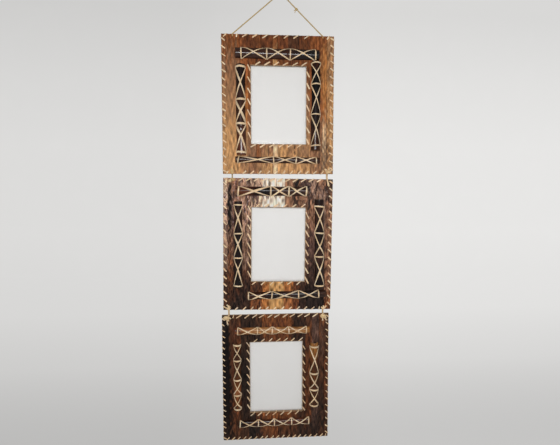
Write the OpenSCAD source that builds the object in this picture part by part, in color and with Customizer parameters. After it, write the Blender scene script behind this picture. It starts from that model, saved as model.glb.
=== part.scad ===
// Hanging triple picture frame in bark, split bamboo and raffia.
// Three board panels hang one under the other on raffia ties and a twine loop.
// Millimetres. X is to the right seen from the front, Y goes into the wall, Z is up.
// The origin is the crown of the twine loop, where it hangs on its nail.
// The plane y = 0 is the back face of the front boards, in line with all the cords.

/* [Panels] */
// Width of each panel's board
panel_w = 250; // [220:1:300]
// Height of each panel's board
panel_h = 304; // [280:1:340]
// Thickness of the front board
board_t = 4; // [3:0.5:6]
// Width of the window in the front board
window_w = 125; // [100:1:130]
// Height of the window in the front board
window_h = 173; // [150:1:180]
// How far the window sits to the right of the panel's middle
window_x = 1; // [-3:0.5:3]
// How far the window sits above the panel's middle
window_z = 0.5; // [-3:0.5:3]

/* [Hanging] */
// Height of the nail above the top panel
hang_rise = 92; // [70:1:140]
// How far the top panel's middle hangs to the left of the nail
hang_side = 6; // [0:0.5:12]
// Gap between the top and the middle panel
upper_gap = 10.5; // [9:0.5:20]
// Gap between the middle and the bottom panel
lower_gap = 11.5; // [9:0.5:20]
// Lean of the middle panel, counter-clockwise seen from the front
middle_lean = -0.7; // [-1:0.1:1]
// Diameter of the twine and of the raffia ties
cord_d = 2.5; // [1.5:0.1:3]

/* [Covering] */
// Thickness of the bark strips on the front
bark_t = 0.8; // [0.5:0.1:1.5]
// Open joint between two bark strips
bark_joint = 0.4; // [0.2:0.1:1]
// Thickness of a raffia strand
raffia_t = 0.8; // [0.4:0.1:1]
// Width of a raffia strand
raffia_w = 2.4; // [1.5:0.1:3.5]

/* [Split bamboo] */
// Height of a rod over its width
rod_rise = 0.38; // [0.3:0.01:0.45]
// Wall of the split bamboo
rod_wall = 2.6; // [2:0.1:4]

/* [Picture pocket] */
// Thickness of the clear pane
pane_t = 1.5; // [1:0.1:2]
// Width of the pane
pane_w = 135; // [132:1:140]
// Height of the pane
pane_h = 185; // [182:1:190]
// Thickness of the picture card
card_t = 0.8; // [0.3:0.1:1]
// Width of the picture card, a 13 x 18 cm print
card_w = 130; // [127:1:131]
// Height of the picture card
card_h = 180; // [177:1:181]
// Thickness of the back board
back_t = 2.5; // [2:0.5:4]
// Bare margin of the front board round the back board
back_margin = 12; // [10:1:16]
// Width of the spacer strips round the pocket
spacer_w = 14; // [8:1:20]

/* [Hidden] */
$fn = 64;
PANELS = ["top", "middle", "bottom"];
PIECES = [
    "left_stile", "right_stile", "head_rail", "sill_rail", "bark_strips",
    "left_rod", "right_rod", "head_rod", "sill_rod", "rod_lashings",
    "edge_lacing", "window_lacing", "window_pane", "picture_card",
    "pocket_spacers", "back_board"
];
CORDS = [
    "hanging_twine", "twine_knot", "twine_feet", "top_tie_ends",
    "upper_left_tie", "upper_right_tie", "middle_head_tie_ends",
    "middle_sill_tie_ends", "lower_left_tie", "lower_right_tie", "bottom_tie_ends"
];
NODES = concat([for (panel = PANELS) for (piece = PIECES) str(panel, "_", piece)], CORDS);
node = "all";

// Colours by panel: the boards, the bark and the bamboo.
BARK_COLOURS = ["#8a5a30", "#6f4a34", "#4a2d22"];
ROD_COLOURS = ["#1e1614", "#221a17", "#a8732f"];
board_colour = "#9c7a52";
raffia_colour = "#e0c69a";
twine_colour = "#c4a061";

// Layers from the front to the back.
bark_y = -board_t - bark_t;
lacing_y = bark_y - raffia_t;
pane_y = raffia_t + 0.1;
card_y = pane_y + pane_t + 0.2;
back_y = card_y + card_t + 0.2;
half_w = panel_w / 2;
half_h = panel_h / 2;
cord_r = cord_d / 2;

// A cord flexes on a line just outside the panel's edge and its raffia.
flex_gap = 0.3;
flex_out = raffia_t + flex_gap + cord_r;

// Middles of the panels, from the top one down, and their leans.
MIDDLE_X = [-hang_side, -hang_side - 1.5, -hang_side - 7];
top_z = -hang_rise - half_h;
middle_z = top_z - panel_h - upper_gap;
bottom_z = middle_z - panel_h - lower_gap;
MIDDLE_Z = [top_z, middle_z, bottom_z];
LEAN = [0, middle_lean, 0];

// Where the cords meet the panels' edges, in millimetres from the nail.
TWINE_X = [-106.5, 93.5];
UPPER_TIE_X = [-110.5, 106];
LOWER_TIE_X = [-122, 98.5];

// Bark strips from left to right: their widths add up to the panel's.
STRIPS = [
    [41, 18, 17, 11, 25, 11, 25, 23, 27, 19, 7, 11, 15],
    [11, 12, 15, 23, 13, 14, 18, 14, 19, 23, 14, 17, 20, 22, 15],
    [16, 15, 11, 19, 15, 16, 17, 21, 32, 15, 17, 17, 17, 11, 11]
];

// Rods: [middle x, middle z, length, width, turn], turn 0 along X and 90 along Z.
// Then the places along the rod of its lashing's bands and of its crosses.
HEAD_RODS = [
    [[-1.5, 111, 186, 23, -0.5], [-80, -24, 28, 84], [-53, 0, 56]],
    [[-13.5, 123, 161, 21, 0.5], [-77, -4, 37, 77], [-42, 16, 55]],
    [[-8.5, 113.5, 176, 16, 0], [-80, -34, 0, 39, 80], [-57, -18, 20, 59]]
];
SILL_RODS = [
    [[-1, -121, 191, 14, -0.5], [-89, -10, 41, 87], [-45, 16, 63]],
    [[21, -117, 184, 17.5, 1.5], [-88, -34, 28, 75], [-66, -5, 52]],
    [[-4, -111.5, 169, 16, 1], [-81, -38, 0, 41, 82], [-58, -15, 21, 61]]
];
LEFT_RODS = [
    [[-83.5, -12, 197, 21, 90], [-92, -30, 23, 93], [-55, -3, 59]],
    [[-91, 0.5, 198, 18.5, 90], [-95, -30, 26, 91], [-56, 2, 62]],
    [[-90.5, 3.5, 162, 16.5, 90], [-77, -43, -6, 41, 78], [-63, -26, 19, 61]]
];
RIGHT_RODS = [
    [[84.5, -1.5, 196, 20.5, 90], [-87, -18, 48, 94], [-49, 18, 72]],
    [[96, 3.5, 204, 21, 91], [-98, -30, 25, 86], [-62, -6, 58]],
    [[91, 3.5, 158, 20, 90], [-74, -35, 5, 70], [-55, -17, 40]]
];

// Stitches on the head, right, sill and left edge of each panel and each window.
EDGE_STITCHES = [[11, 18, 14, 18], [14, 17, 14, 17], [14, 18, 19, 22]];
WINDOW_STITCHES = [[6, 7, 6, 7], [6, 8, 6, 8], [7, 9, 7, 9]];
// A stitch's front leg: its run along the edge and its reach in from it.
rail_leg = [12, 7];
stile_leg = [8, 8];
// Least distance of a strand of the lacing from the panel's corner.
hole_room = 2;
// Room that the lacing leaves on each side of a tie or of one of the twine's feet.
tie_room = 6.5;

// Route of the twine's centre line from its left foot over the nail to its right foot.
foot_z = -hang_rise + flex_out;
TWINE = [
    [-106.5, foot_z], [-98, -82.5], [-88, -74], [-78, -65.5], [-68, -57.2],
    [-58, -48.7], [-48, -40.4], [-38, -32], [-28, -23.5], [-18, -15],
    [-10, -8.3], [-5, -4], [-2.5, -1.6], [0, -0.6], [2.5, -1.5],
    [5, -3.8], [10, -8.9], [20, -19.1], [30, -28.9], [40, -38.6],
    [50, -48.3], [60, -57.8], [70, -67.4], [80, -76.9], [88, -84.5],
    [93.5, foot_z]
];
// The knot that joins the twine's ends sits on the stretch from this point on.
knot_at = 18;

// Puts a panel's pieces, made about its own middle, in place.
module in_panel(p) {
    translate([MIDDLE_X[p], 0, MIDDLE_Z[p]])
        rotate([0, -LEAN[p], 0])
            children();
}

// The x across a panel of a point on its head edge (side 1) or sill edge (side -1).
function across(p, x, side) = x - MIDDLE_X[p] + side * half_h * sin(LEAN[p]);

// A box given by its lowest and highest corners.
module block(low, high) {
    translate(low)
        cube(high - low);
}

module window_hole() {
    block(
        [window_x - window_w / 2, bark_y - 1, window_z - window_h / 2],
        [window_x + window_w / 2, 1, window_z + window_h / 2]
    );
}

// Front board: two full stiles with the rails butted between them.
module stile(side) {
    inner = window_x + side * window_w / 2;
    low_x = side < 0 ? -half_w : inner;
    high_x = side < 0 ? inner : half_w;
    color(board_colour)
        block([low_x, -board_t, -half_h], [high_x, 0, half_h]);
}

module rail(side) {
    inner = window_z + side * window_h / 2;
    low_z = side < 0 ? -half_h : inner;
    high_z = side < 0 ? inner : half_h;
    left = window_x - window_w / 2;
    color(board_colour)
        block([left, -board_t, low_z], [left + window_w, 0, high_z]);
}

// Bark strips, upright over the whole panel, with the window cut through them.
function edge_of_strip(widths, n) = n == 0 ? 0 : widths[n - 1] + edge_of_strip(widths, n - 1);

module bark_strips(p) {
    widths = STRIPS[p];
    color(BARK_COLOURS[p])
        for (n = [0:len(widths) - 1]) {
            left = edge_of_strip(widths, n) * panel_w / 250 - half_w;
            difference() {
                block(
                    [left + bark_joint / 2, bark_y, -half_h],
                    [left + widths[n] * panel_w / 250 - bark_joint / 2, -board_t, half_h]
                );
                window_hole();
            }
        }
}

// Split bamboo: an arch of a culm, its wall open to the bark behind.
function arch_radius(width) = (width * width / 4 + pow(rod_rise * width, 2)) / (2 * rod_rise * width);

module arch_profile(width, inner, outer) {
    radius = arch_radius(width);
    intersection() {
        translate([0, rod_rise * width - radius])
            difference() {
                circle(r = radius + outer);
                circle(r = radius + inner);
            }
        translate([-width, 0])
            square([2 * width, width]);
    }
}

// Lays a shape drawn upright, its front towards +Y, on the bark along the rod's line.
module along_rod(rod) {
    translate([rod[0], bark_y, rod[1]])
        rotate([0, -rod[4], 0])
            rotate([90, 0, 0])
                rotate([90, 0, 90])
                    children();
}

module rod(p, spec) {
    color(ROD_COLOURS[p])
        along_rod(spec[0])
            linear_extrude(height = spec[0][2], center = true)
                arch_profile(spec[0][3], -rod_wall, 0);
}

// Raffia over a rod: bands square across it, with slanting strands crossing between them.
module strand_slab(width, turn) {
    rotate([0, turn, 0])
        translate([-2 * width, 0, -raffia_w / 2])
            cube([4 * width, width, raffia_w]);
}

function nearest_band(bands, place) = min([for (band = bands) abs(band - place)]);

module lashing(spec) {
    width = spec[0][3];
    along_rod(spec[0])
        intersection() {
            linear_extrude(height = spec[0][2] - 1, center = true)
                arch_profile(width, 0.05, 0.05 + raffia_t);
            union() {
                for (place = spec[1])
                    translate([0, 0, place])
                        strand_slab(width, 0);
                for (place = spec[2]) {
                    turn = atan2(nearest_band(spec[1], place), width / 2);
                    translate([0, 0, place]) {
                        strand_slab(width, turn);
                        strand_slab(width, -turn);
                    }
                }
            }
        }
}

module rod_lashings(p) {
    color(raffia_colour)
        for (rods = [HEAD_RODS, SILL_RODS, LEFT_RODS, RIGHT_RODS])
            lashing(rods[p]);
}

// A leg of a stitch: a slanting ribbon from its hole at [run, -reach] to the edge.
module leg(run, reach, turn_w) {
    half = turn_w / 2;
    linear_extrude(height = raffia_t)
        polygon([
            [run - half, -reach], [run + half, -reach],
            [half, 0], [half, raffia_t], [-half, raffia_t], [-half, 0]
        ]);
}

// One overcast stitch: from its front hole over the edge and on to the next hole behind.
// The holes lie this far before and past the place where the strand turns over the edge.
module stitch(before, past, reach, turn_w) {
    translate([0, bark_y, 0])
        rotate([90, 0, 0])
            leg(-before, reach, turn_w);
    block([-turn_w / 2, bark_y, 0], [turn_w / 2, 0, raffia_t]);
    translate([0, raffia_t, 0])
        rotate([90, 0, 0])
            leg(past, reach, turn_w);
}

// Room beside a stitch before and past it, where stops is a list of [place, room].
function room_before(place, stops) =
    min(concat([panel_h], [for (stop = stops) if (stop[0] <= place) place - stop[0] - stop[1]]));

function room_past(place, stops) =
    min(concat([panel_h], [for (stop = stops) if (stop[0] > place) stop[0] - place - stop[1]]));

// A run of stitches along one edge, the edge at z = 0 and the sewing going towards +X.
// No strand comes nearer to a stop than its room, and a stitch with no room is left out.
module stitch_run(length, count, legs, stops) {
    pitch = length / count;
    turn_w = raffia_w * norm(legs) / legs[1];
    for (n = [0:count - 1]) {
        place = (n + 0.5) * pitch - length / 2;
        before = min(legs[0], room_before(place, stops) - turn_w / 2);
        past = min(max(pitch - legs[0], 2), room_past(place, stops) - turn_w / 2);
        if (before > 0 && past > 0)
            translate([place, 0, 0])
                stitch(before, past, legs[1], turn_w);
    }
}

// The stops on an edge of a panel: its two corners and its ties.
function stops_on(length, ties = []) = concat(
    [[-length / 2, hole_room], [length / 2, hole_room]],
    [for (tie = ties) [tie, tie_room]]
);

module edge_lacing(p) {
    counts = EDGE_STITCHES[p];
    head_x = p == 0 ? TWINE_X : p == 1 ? UPPER_TIE_X : LOWER_TIE_X;
    sill_x = p == 0 ? UPPER_TIE_X : p == 1 ? LOWER_TIE_X : [];
    color(raffia_colour) {
        translate([0, 0, half_h])
            stitch_run(panel_w, counts[0], rail_leg, stops_on(panel_w, [for (x = head_x) across(p, x, 1)]));
        translate([half_w, 0, 0])
            rotate([0, 90, 0])
                stitch_run(panel_h, counts[1], stile_leg, stops_on(panel_h));
        translate([0, 0, -half_h])
            rotate([0, 180, 0])
                stitch_run(panel_w, counts[2], rail_leg, stops_on(panel_w, [for (x = sill_x) -across(p, x, -1)]));
        translate([-half_w, 0, 0])
            rotate([0, -90, 0])
                stitch_run(panel_h, counts[3], stile_leg, stops_on(panel_h));
    }
}

module window_lacing(p) {
    counts = WINDOW_STITCHES[p];
    inside_w = window_w - 2 * raffia_t;
    inside_h = window_h - 2 * raffia_t;
    color(raffia_colour)
        translate([window_x, 0, window_z]) {
            translate([0, 0, window_h / 2])
                rotate([0, 180, 0])
                    stitch_run(inside_w, counts[0], rail_leg, []);
            translate([window_w / 2, 0, 0])
                rotate([0, -90, 0])
                    stitch_run(inside_h, counts[1], stile_leg, []);
            translate([0, 0, -window_h / 2])
                stitch_run(inside_w, counts[2], rail_leg, []);
            translate([-window_w / 2, 0, 0])
                rotate([0, 90, 0])
                    stitch_run(inside_h, counts[3], stile_leg, []);
        }
}

// Picture pocket behind the window, open to the right, where the card slides out.
module window_pane() {
    color("#dfe8ea", 0.4)
        translate([window_x, pane_y, window_z])
            block([-pane_w / 2, 0, -pane_h / 2], [pane_w / 2, pane_t, pane_h / 2]);
}

module picture_card() {
    color("#e6e4e0")
        translate([window_x, card_y, window_z])
            block([-card_w / 2, 0, -card_h / 2], [card_w / 2, card_t, card_h / 2]);
}

// A spacer strip from low to high: a box at rest on the board, its inner edge, from that
// edge to clear, relieved over the back of the window's lacing.
module pocket_spacers() {
    side_x = pane_w / 2 + 0.2;
    side_z = pane_h / 2 + 0.2;
    clear_x = window_w / 2 + stile_leg[1] + 1;
    clear_z = window_h / 2 + rail_leg[1] + 1;
    out_x = side_x + spacer_w;
    out_z = side_z + spacer_w;
    pane_back = pane_y + pane_t;
    color(board_colour)
        translate([window_x, 0, window_z]) {
            for (side = [1, -1])
                scale([1, 1, side]) {
                    block([-out_x, 0, clear_z], [out_x, back_y, out_z]);
                    block([-out_x, pane_y, side_z], [out_x, back_y, clear_z]);
                }
            block([-out_x, 0, -side_z], [-clear_x, back_y, side_z]);
            block([-clear_x, pane_y, -side_z], [-side_x, back_y, side_z]);
            block([clear_x, 0, -side_z], [out_x, pane_back, side_z]);
            block([side_x, pane_y, -side_z], [clear_x, pane_back, side_z]);
        }
}

module back_board() {
    reach_x = half_w - back_margin;
    reach_z = half_h - back_margin;
    color(board_colour)
        block([-reach_x, back_y, -reach_z], [reach_x, back_y + back_t, reach_z]);
}

// The end of a tie on a panel's edge, the edge at z = 0: down behind it, over it, and
// down the front in slanting legs, whose holes are given as [run, reach].
module strap(holes) {
    half = 1.6;
    block([-half, bark_y, 0], [half, raffia_t, raffia_t]);
    block([-half, 0, -8], [half, raffia_t, 0]);
    translate([0, bark_y, 0])
        rotate([90, 0, 0])
            for (hole = holes)
                leg(hole[0], hole[1], 2 * half);
}

// A knot on a panel's face: a ball of raffia flat on what it lies on.
module face_knot(radius, reach) {
    intersection() {
        translate([0, bark_y - radius / 2, -reach])
            sphere(r = radius);
        block([-radius, bark_y - 2 * radius, -reach - radius], [radius, bark_y, -reach + radius]);
    }
}

module back_knot(radius, reach) {
    intersection() {
        translate([0, radius / 2, -reach])
            sphere(r = radius);
        block([-radius, 0, -reach - radius], [radius, 2 * radius, -reach + radius]);
    }
}

// A knot's loose tail on top of the lacing, its turn counted from straight up.
module tail(length, turn, reach) {
    translate([0, 0, -reach])
        rotate([0, turn, 0])
            block([-0.9, lacing_y - 0.6, 0], [0.9, lacing_y, length]);
}

module twine_feet() {
    color(twine_colour)
        for (x = TWINE_X)
            translate([across(0, x, 1), 0, half_h]) {
                strap([[0, 4]]);
                back_knot(2.6, 6);
            }
}

// Moves to where a tie meets a panel's head edge (side 1) or sill edge (side -1).
module at_tie(p, x, side) {
    translate([across(p, x, side), 0, side * half_h])
        rotate([0, side > 0 ? 0 : 180, 0])
            children();
}

module top_tie_ends() {
    color(raffia_colour) {
        at_tie(0, UPPER_TIE_X[0], -1) {
            strap([[-3.5, 9], [3, 9]]);
            back_knot(2.6, 6);
        }
        at_tie(0, UPPER_TIE_X[1], -1) {
            strap([[-4, 14], [3.5, 12]]);
            face_knot(3.8, 6);
            tail(13, 245, 6);
        }
    }
}

module middle_head_tie_ends() {
    color(raffia_colour) {
        at_tie(1, UPPER_TIE_X[0], 1) {
            strap([[-3, 6], [3.5, 6]]);
            back_knot(2.6, 6);
        }
        at_tie(1, UPPER_TIE_X[1], 1) {
            strap([[4, 16]]);
            back_knot(2.6, 6);
        }
    }
}

module middle_sill_tie_ends() {
    color(raffia_colour) {
        at_tie(1, LOWER_TIE_X[0], -1) {
            strap([[-4, 11], [3, 6]]);
            back_knot(2.6, 6);
        }
        at_tie(1, LOWER_TIE_X[1], -1) {
            strap([[-4, 11], [2, 8]]);
            back_knot(2.6, 6);
        }
    }
}

module bottom_tie_ends() {
    color(raffia_colour) {
        at_tie(2, LOWER_TIE_X[0], 1) {
            strap([[0, 8]]);
            face_knot(4, 6);
            tail(17, 192, 6);
            tail(11, 165, 6);
        }
        at_tie(2, LOWER_TIE_X[1], 1) {
            strap([[0, 8]]);
            face_knot(4, 6);
            tail(13, 175, 6);
            tail(12, 115, 6);
        }
    }
}

// The free stretch of a tie between two panels, with its round ends on the flexing lines.
function flex_z(p, x, side) =
    MIDDLE_Z[p] + side * (half_h + flex_out) / cos(LEAN[p]) + (x - MIDDLE_X[p]) * tan(LEAN[p]);

module tie(x, above, below) {
    high_z = flex_z(above, x, -1);
    low_z = flex_z(below, x, 1);
    color(raffia_colour) {
        translate([x, 0, low_z])
            cylinder(h = high_z - low_z, r = cord_r);
        for (z = [low_z, high_z])
            translate([x, 0, z])
                sphere(r = cord_r);
    }
}

// A tube swept along the twine's route, with a ring at each point and one halfway between.
SIDES = 8;
TWINE_RINGS = [
    for (n = [0:2 * (len(TWINE) - 1)])
        n % 2 == 0 ? TWINE[n / 2] : (TWINE[(n - 1) / 2] + TWINE[(n + 1) / 2]) / 2
];
last_ring = len(TWINE_RINGS) - 1;
function heading(n) = TWINE_RINGS[min(n + 1, last_ring)] - TWINE_RINGS[max(n - 1, 0)];
function ring_point(n, k) =
    let (way = heading(n) / norm(heading(n)), turn = 360 * k / SIDES)
    [
        TWINE_RINGS[n][0] - way[1] * cord_r * cos(turn),
        cord_r * sin(turn),
        TWINE_RINGS[n][1] + way[0] * cord_r * cos(turn)
    ];

module hanging_twine() {
    color(twine_colour)
        polyhedron(
            points = [for (n = [0:last_ring]) for (k = [0:SIDES - 1]) ring_point(n, k)],
            faces = concat(
                [[for (k = [0:SIDES - 1]) k]],
                [for (n = [0:last_ring - 1]) for (k = [0:SIDES - 1])
                    [n * SIDES + k, (n + 1) * SIDES + k,
                     (n + 1) * SIDES + (k + 1) % SIDES, n * SIDES + (k + 1) % SIDES]],
                [[for (k = [SIDES - 1:-1:0]) last_ring * SIDES + k]]
            )
        );
}

// The knot round the twine, a barrel on the strand, with the twine's two cut ends.
module twine_knot() {
    way = TWINE[knot_at + 1] - TWINE[knot_at];
    middle = (TWINE[knot_at + 1] + TWINE[knot_at]) / 2;
    color(twine_colour)
        translate([middle[0], 0, middle[1]])
            rotate([0, atan2(way[0], way[1]), 0]) {
                rotate_extrude()
                    difference() {
                        translate([cord_r, 0])
                            circle(r = 2);
                        translate([-5, -5])
                            square([5 + cord_r + 0.05, 10]);
                    }
                rotate([0, 70, 0])
                    translate([0, 0, cord_r + 1])
                        cylinder(h = 6, r = 0.8);
            }
}

function wanted(name) = node == "all" || node == name;

for (p = [0:2]) {
    if (wanted(str(PANELS[p], "_left_stile"))) in_panel(p) stile(-1);
    if (wanted(str(PANELS[p], "_right_stile"))) in_panel(p) stile(1);
    if (wanted(str(PANELS[p], "_head_rail"))) in_panel(p) rail(1);
    if (wanted(str(PANELS[p], "_sill_rail"))) in_panel(p) rail(-1);
    if (wanted(str(PANELS[p], "_bark_strips"))) in_panel(p) bark_strips(p);
    if (wanted(str(PANELS[p], "_left_rod"))) in_panel(p) rod(p, LEFT_RODS[p]);
    if (wanted(str(PANELS[p], "_right_rod"))) in_panel(p) rod(p, RIGHT_RODS[p]);
    if (wanted(str(PANELS[p], "_head_rod"))) in_panel(p) rod(p, HEAD_RODS[p]);
    if (wanted(str(PANELS[p], "_sill_rod"))) in_panel(p) rod(p, SILL_RODS[p]);
    if (wanted(str(PANELS[p], "_rod_lashings"))) in_panel(p) rod_lashings(p);
    if (wanted(str(PANELS[p], "_edge_lacing"))) in_panel(p) edge_lacing(p);
    if (wanted(str(PANELS[p], "_window_lacing"))) in_panel(p) window_lacing(p);
    if (wanted(str(PANELS[p], "_window_pane"))) in_panel(p) window_pane();
    if (wanted(str(PANELS[p], "_picture_card"))) in_panel(p) picture_card();
    if (wanted(str(PANELS[p], "_pocket_spacers"))) in_panel(p) pocket_spacers();
    if (wanted(str(PANELS[p], "_back_board"))) in_panel(p) back_board();
}
if (wanted("hanging_twine")) hanging_twine();
if (wanted("twine_knot")) twine_knot();
if (wanted("twine_feet")) in_panel(0) twine_feet();
if (wanted("top_tie_ends")) in_panel(0) top_tie_ends();
if (wanted("upper_left_tie")) tie(UPPER_TIE_X[0], 0, 1);
if (wanted("upper_right_tie")) tie(UPPER_TIE_X[1], 0, 1);
if (wanted("middle_head_tie_ends")) in_panel(1) middle_head_tie_ends();
if (wanted("middle_sill_tie_ends")) in_panel(1) middle_sill_tie_ends();
if (wanted("lower_left_tie")) tie(LOWER_TIE_X[0], 1, 2);
if (wanted("lower_right_tie")) tie(LOWER_TIE_X[1], 1, 2);
if (wanted("bottom_tie_ends")) in_panel(2) bottom_tie_ends();
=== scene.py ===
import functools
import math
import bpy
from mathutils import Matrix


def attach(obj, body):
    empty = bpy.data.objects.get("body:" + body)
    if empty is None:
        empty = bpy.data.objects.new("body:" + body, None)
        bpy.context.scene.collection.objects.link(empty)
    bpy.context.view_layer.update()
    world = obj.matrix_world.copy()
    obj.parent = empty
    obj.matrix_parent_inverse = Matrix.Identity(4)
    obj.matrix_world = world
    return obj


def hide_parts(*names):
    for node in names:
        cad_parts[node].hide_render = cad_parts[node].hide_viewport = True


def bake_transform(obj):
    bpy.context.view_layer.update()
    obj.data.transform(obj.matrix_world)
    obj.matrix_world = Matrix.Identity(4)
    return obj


bl_info = {
    "name": "Hanging Bamboo Picture Frame",
    "version": (1, 0, 0),
    "blender": (4, 5, 0),
    "location": "3D View > Sidebar > Picture Frame",
    "description": "Dresses the hanging picture frame in bark, split bamboo, raffia and twine",
    "category": "Object",
}

import bpy
import numpy as np
from bpy.props import FloatProperty, FloatVectorProperty, IntProperty, PointerProperty
from mathutils import Matrix, Vector

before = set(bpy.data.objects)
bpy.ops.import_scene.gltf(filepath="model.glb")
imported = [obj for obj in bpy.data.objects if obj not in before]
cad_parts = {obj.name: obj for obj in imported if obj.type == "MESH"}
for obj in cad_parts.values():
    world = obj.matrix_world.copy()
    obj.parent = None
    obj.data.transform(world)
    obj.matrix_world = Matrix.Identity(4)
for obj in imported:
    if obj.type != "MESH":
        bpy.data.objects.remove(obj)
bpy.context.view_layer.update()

# The part's own sizes, in millimetres, in each panel's frame: X to the right and Z up
# from the panel's middle, Y into the wall from the back face of its front board.
PANELS = ("top", "middle", "bottom")
BOARD_PARTS = ("left_stile", "right_stile", "head_rail", "sill_rail", "pocket_spacers", "back_board")
PANEL_W, PANEL_H = 250.0, 304.0
HALF_W, HALF_H = PANEL_W / 2, PANEL_H / 2
MIDDLES = ((-6.0, -244.0), (-7.5, -558.5), (-13.0, -874.0))
TURNS = (0.0, math.radians(0.7), 0.0)
WINDOW_X, WINDOW_Z, WINDOW_W, WINDOW_H = 1.0, 0.5, 125.0, 173.0
BOARD_T, BARK_T, RAFFIA_T = 4.0, 0.8, 0.8
BARK_Y = -BOARD_T - BARK_T
FLEX_OUT = 2.35

# Tones of bark and bamboo as they look in plain light, red, green and blue up to 255.
TONES = {
    "char": (30, 26, 25), "soot": (50, 35, 28), "umber": (76, 49, 34), "chestnut": (98, 58, 35),
    "russet": (122, 75, 43), "sienna": (146, 92, 56), "ochre": (164, 108, 60), "gold": (180, 134, 84),
    "plum": (92, 70, 62), "smoke": (114, 96, 84), "clay": (136, 102, 78), "fawn": (160, 124, 92),
    "honey": (184, 146, 104), "dust": (150, 125, 106), "sand": (180, 154, 132), "straw": (206, 182, 152),
    "cream": (230, 215, 194), "ink": (13, 11, 13), "tar": (29, 18, 16), "coffee": (60, 37, 29),
    "mahogany": (94, 52, 36), "amber": (156, 108, 56), "pitch": (13, 8, 9), "bole": (60, 34, 20),
    "cocoa": (76, 44, 22), "rust": (106, 62, 28), "bronze": (188, 145, 92),
}

# Bark strips of each panel from left to right: width, then tones from the head to the sill.
STRIPS = (
    (
        (41, "russet clay fawn honey honey"), (18, "chestnut sienna ochre fawn fawn"),
        (17, "chestnut russet russet clay clay"), (11, "russet chestnut russet russet fawn"),
        (25, "chestnut chestnut russet clay honey"), (11, "russet honey honey straw straw"),
        (25, "chestnut russet clay honey honey"), (23, "umber chestnut clay fawn honey"),
        (27, "chestnut russet clay fawn honey"), (19, "russet sienna sienna clay fawn"),
        (7, "russet russet sienna clay fawn"), (11, "sienna ochre ochre straw honey"),
        (15, "fawn fawn honey honey honey"),
    ),
    (
        (11, "straw sand dust umber umber"), (12, "clay smoke clay russet soot"),
        (15, "clay clay clay chestnut char"), (23, "dust dust dust umber soot"),
        (13, "sand straw clay chestnut russet"), (14, "sand straw clay umber russet"),
        (18, "cream cream fawn ochre ochre"), (14, "cream cream honey bronze bronze"),
        (19, "cream cream honey bronze bronze"), (23, "clay clay clay ochre sienna"),
        (14, "clay clay plum chestnut russet"), (17, "plum clay plum umber soot"),
        (20, "dust clay plum soot char"), (22, "clay smoke plum soot char"),
        (15, "umber clay clay clay russet"),
    ),
    (
        (16, "char pitch pitch pitch soot"), (15, "umber umber umber chestnut umber"),
        (11, "umber chestnut mahogany chestnut umber"), (19, "soot soot char soot umber"),
        (15, "soot soot soot soot char"), (16, "umber char umber chestnut soot"),
        (17, "russet umber chestnut sienna umber"), (21, "russet chestnut russet sienna chestnut"),
        (32, "russet chestnut chestnut russet umber"), (15, "soot soot umber chestnut umber"),
        (17, "umber soot umber umber soot"), (17, "umber chestnut chestnut chestnut soot"),
        (17, "plum plum umber plum soot"), (11, "russet umber umber soot umber"),
        (11, "umber umber chestnut umber umber"),
    ),
)

# For each panel: how strongly its bark is flecked, how bright its ground is between the
# flecks in red, green and blue, and how much each strip changes from place to place.
FLECKS = (0.45, 0.9, 0.6)
GROUND = ((0.91, 0.85, 0.75), (0.91, 0.89, 0.91), (0.76, 0.74, 0.7))
BLOTS = (0.28, 0.45, 0.42)
TONE_LIMITS = (0.002, 0.68)

# The bark's grid, in millimetres and rows: the widest cell across a strip, and the rows below,
# beside and above the window.
BARK_CELL, BARK_ROWS = 1.35, (28, 74, 29)

# How far in from its edge a strip changes height, wanders and darkens (a dark joint with painted shade in
# it), in millimetres, and how far that edge sinks under a neighbour and where the two only meet.
LIFT_REACH, WANDER_REACH, SEAM_DARK_AND_SHADE_REACH = 2.6, 3.0, 1.5
SUNK, MEETING = -0.22, -0.1

# Where each panel's bark is smoother or rougher: x, z, half width, half height and change.
WEAR = (
    ((-108, -20, 18, 110, -0.3),),
    (
        (4, 96, 38, 16, -0.92), (0, 144, 36, 18, -0.92), (2, -122, 40, 42, -0.9), (-92, 100, 40, 60, 0.45),
        (88, 120, 30, 30, 0.2), (-110, 84, 5, 60, -0.8),
    ),
    ((-112, 0, 14, 150, -0.6),),
)

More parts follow.
